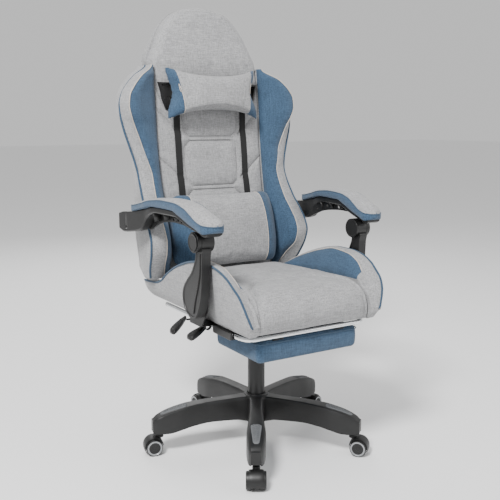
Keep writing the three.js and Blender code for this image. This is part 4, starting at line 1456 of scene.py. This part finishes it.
def build_stage(looks):
    mesh = bpy.data.meshes.new("floor")
    corners = [(-30, -30), (30, -30), (30, 30), (-30, 30)]
    mesh.from_pydata([(x, y, FLOOR_AT) for x, y in corners], [], [(0, 1, 2, 3)])
    floor = link("floor", mesh)
    # Matt studio paper: bright, plain, with no gloss.
    _, shader = new_material(PAPER, 0.9, **{"Specular IOR Level": 0.1})
    shader.inputs["Base Color"].default_value = linear("#f4f4f4")
    mesh.materials.append(MATERIALS[PAPER])
    world = bpy.data.worlds.new("studio")
    world.use_nodes = True
    background = world.node_tree.nodes["Background"]
    background.inputs["Color"].default_value = linear("#ffffff")
    background.inputs["Strength"].default_value = 0.7
    bpy.context.scene.world = world
    aim = tuple(COLUMN + Vector((0, 0, 0.7)))
    area_light("key", (-2.2, -1.6, 3.4), aim, 1.0, 240)
    area_light("fill", (2.6, -1.8, 1.8), aim, 2.4, 30)
    area_light("back", (0.8, 3.0, 2.6), aim, 2.4, 50)
    camera = bpy.data.cameras.new("camera")
    camera.sensor_width = 36
    camera.lens = CAMERA_LENS
    camera.clip_start = 0.05
    thing = link("camera", camera)
    thing.location = COLUMN + CAMERA_AT
    thing.rotation_euler = CAMERA_AIM.to_track_quat("-Z", "Y").to_euler()
    bpy.context.scene.camera = thing


# ---------------------------------------------------------------- add-on
class ChairLooks(bpy.types.PropertyGroup):
    """Sizes and colours that a user would change."""

    grey_fabric: FloatVectorProperty(name="Grey Fabric", description="Main upholstery colour, sRGB",
                                     subtype="COLOR_GAMMA", size=3, min=0, max=1,
                                     default=(0.600, 0.600, 0.603))
    blue_fabric: FloatVectorProperty(name="Blue Fabric", description="Contrast upholstery colour, sRGB",
                                     subtype="COLOR_GAMMA", size=3, min=0, max=1,
                                     default=(0.235, 0.325, 0.415))
    plastic: StringProperty(name="Plastic", description="Colour of the black plastics, sRGB hex",
                            default="#111111")
    thread_spacing: FloatProperty(name="Thread Spacing", description="Millimetres between yarns, as drawn",
                                  default=1.5, min=0.4, max=5)
    piping_diameter: FloatProperty(name="Piping Diameter", description="Millimetres across the welt cord",
                                   default=7.0, min=3, max=12)
    stitch_pitch: FloatProperty(name="Stitch Pitch", description="Millimetres from stitch to stitch",
                                default=7.0, min=2, max=15)


GROUPS = [
    ("materials", "Materials", "Makes the fabrics, plastics and metals", make_materials),
    ("back", "Back", "Builds the quilted back panel and its rear cover", build_back),
    ("wings", "Back Wings", "Builds the two-colour side wings with their piping", build_wings),
    ("straps", "Straps", "Builds the elastic straps of the pillows", build_straps),
    ("lumbar_pillow", "Lumbar Pillow", "Builds the stuffed lumbar pillow", build_lumbar_pillow),
    ("head_pillow", "Head Pillow", "Builds the stuffed head pillow", build_head_pillow),
    ("seat_cushion", "Seat Cushion", "Builds the seat cushion with its sewn channels", build_seat_cushion),
    ("bolsters", "Seat Bolsters", "Builds the side bolsters of the seat", build_bolsters),
    ("arm_pads", "Armrest Pads", "Builds the padded armrest tops", build_arm_pads),
    ("arm_frames", "Armrest Frames", "Builds the armrest shells with their webs", build_arm_frames),
    ("posts", "Armrest Posts", "Builds the posts that carry the armrests", build_posts),
    ("levers", "Levers", "Builds the height and recline levers", build_levers),
    ("footrest", "Footrest", "Builds the footrest rail, guides and pad", build_footrest),
    ("base", "Star Base", "Builds the five-star base with its grips", build_base),
    ("column", "Gas Column", "Builds the gas lift's visible tubes", build_column),
    ("casters", "Casters", "Builds the twin-wheel casters", build_casters),
    ("frame_paint", "Frame Finishes", "Paints the frame pieces that stay visible", paint_frame),
    ("stage", "Studio Stage", "Adds floor, lights and camera", build_stage),
]


def make_operator(key, label, text, build):
    def execute(self, context):
        build(context.scene.chair_looks)
        return {"FINISHED"}

    name = "CHAIR_OT_" + key
    return type(name, (bpy.types.Operator,), {"bl_idname": "chair." + key, "bl_label": label, "__doc__": text,
                                              "execute": execute})


OPERATORS = [make_operator(*group) for group in GROUPS]


class CHAIR_PT_panel(bpy.types.Panel):
    """Lists the chair's looks and the steps that build it"""

    bl_label = "Gaming Chair"
    bl_space_type = "VIEW_3D"
    bl_region_type = "UI"
    bl_category = "Chair"

    def draw(self, context):
        looks = context.scene.chair_looks
        for name in ChairLooks.__annotations__:
            self.layout.prop(looks, name)
        for operator in OPERATORS:
            self.layout.operator(operator.bl_idname)


CLASSES = [ChairLooks, *OPERATORS, CHAIR_PT_panel]


def register():
    for item in CLASSES:
        bpy.utils.register_class(item)
    bpy.types.Scene.chair_looks = PointerProperty(type=ChairLooks)


def unregister():
    del bpy.types.Scene.chair_looks
    for item in reversed(CLASSES):
        bpy.utils.unregister_class(item)


def main():
    register()
    for key, _, _, _ in GROUPS:
        getattr(bpy.ops.chair, key)()


if __name__ == "__main__":
    main()
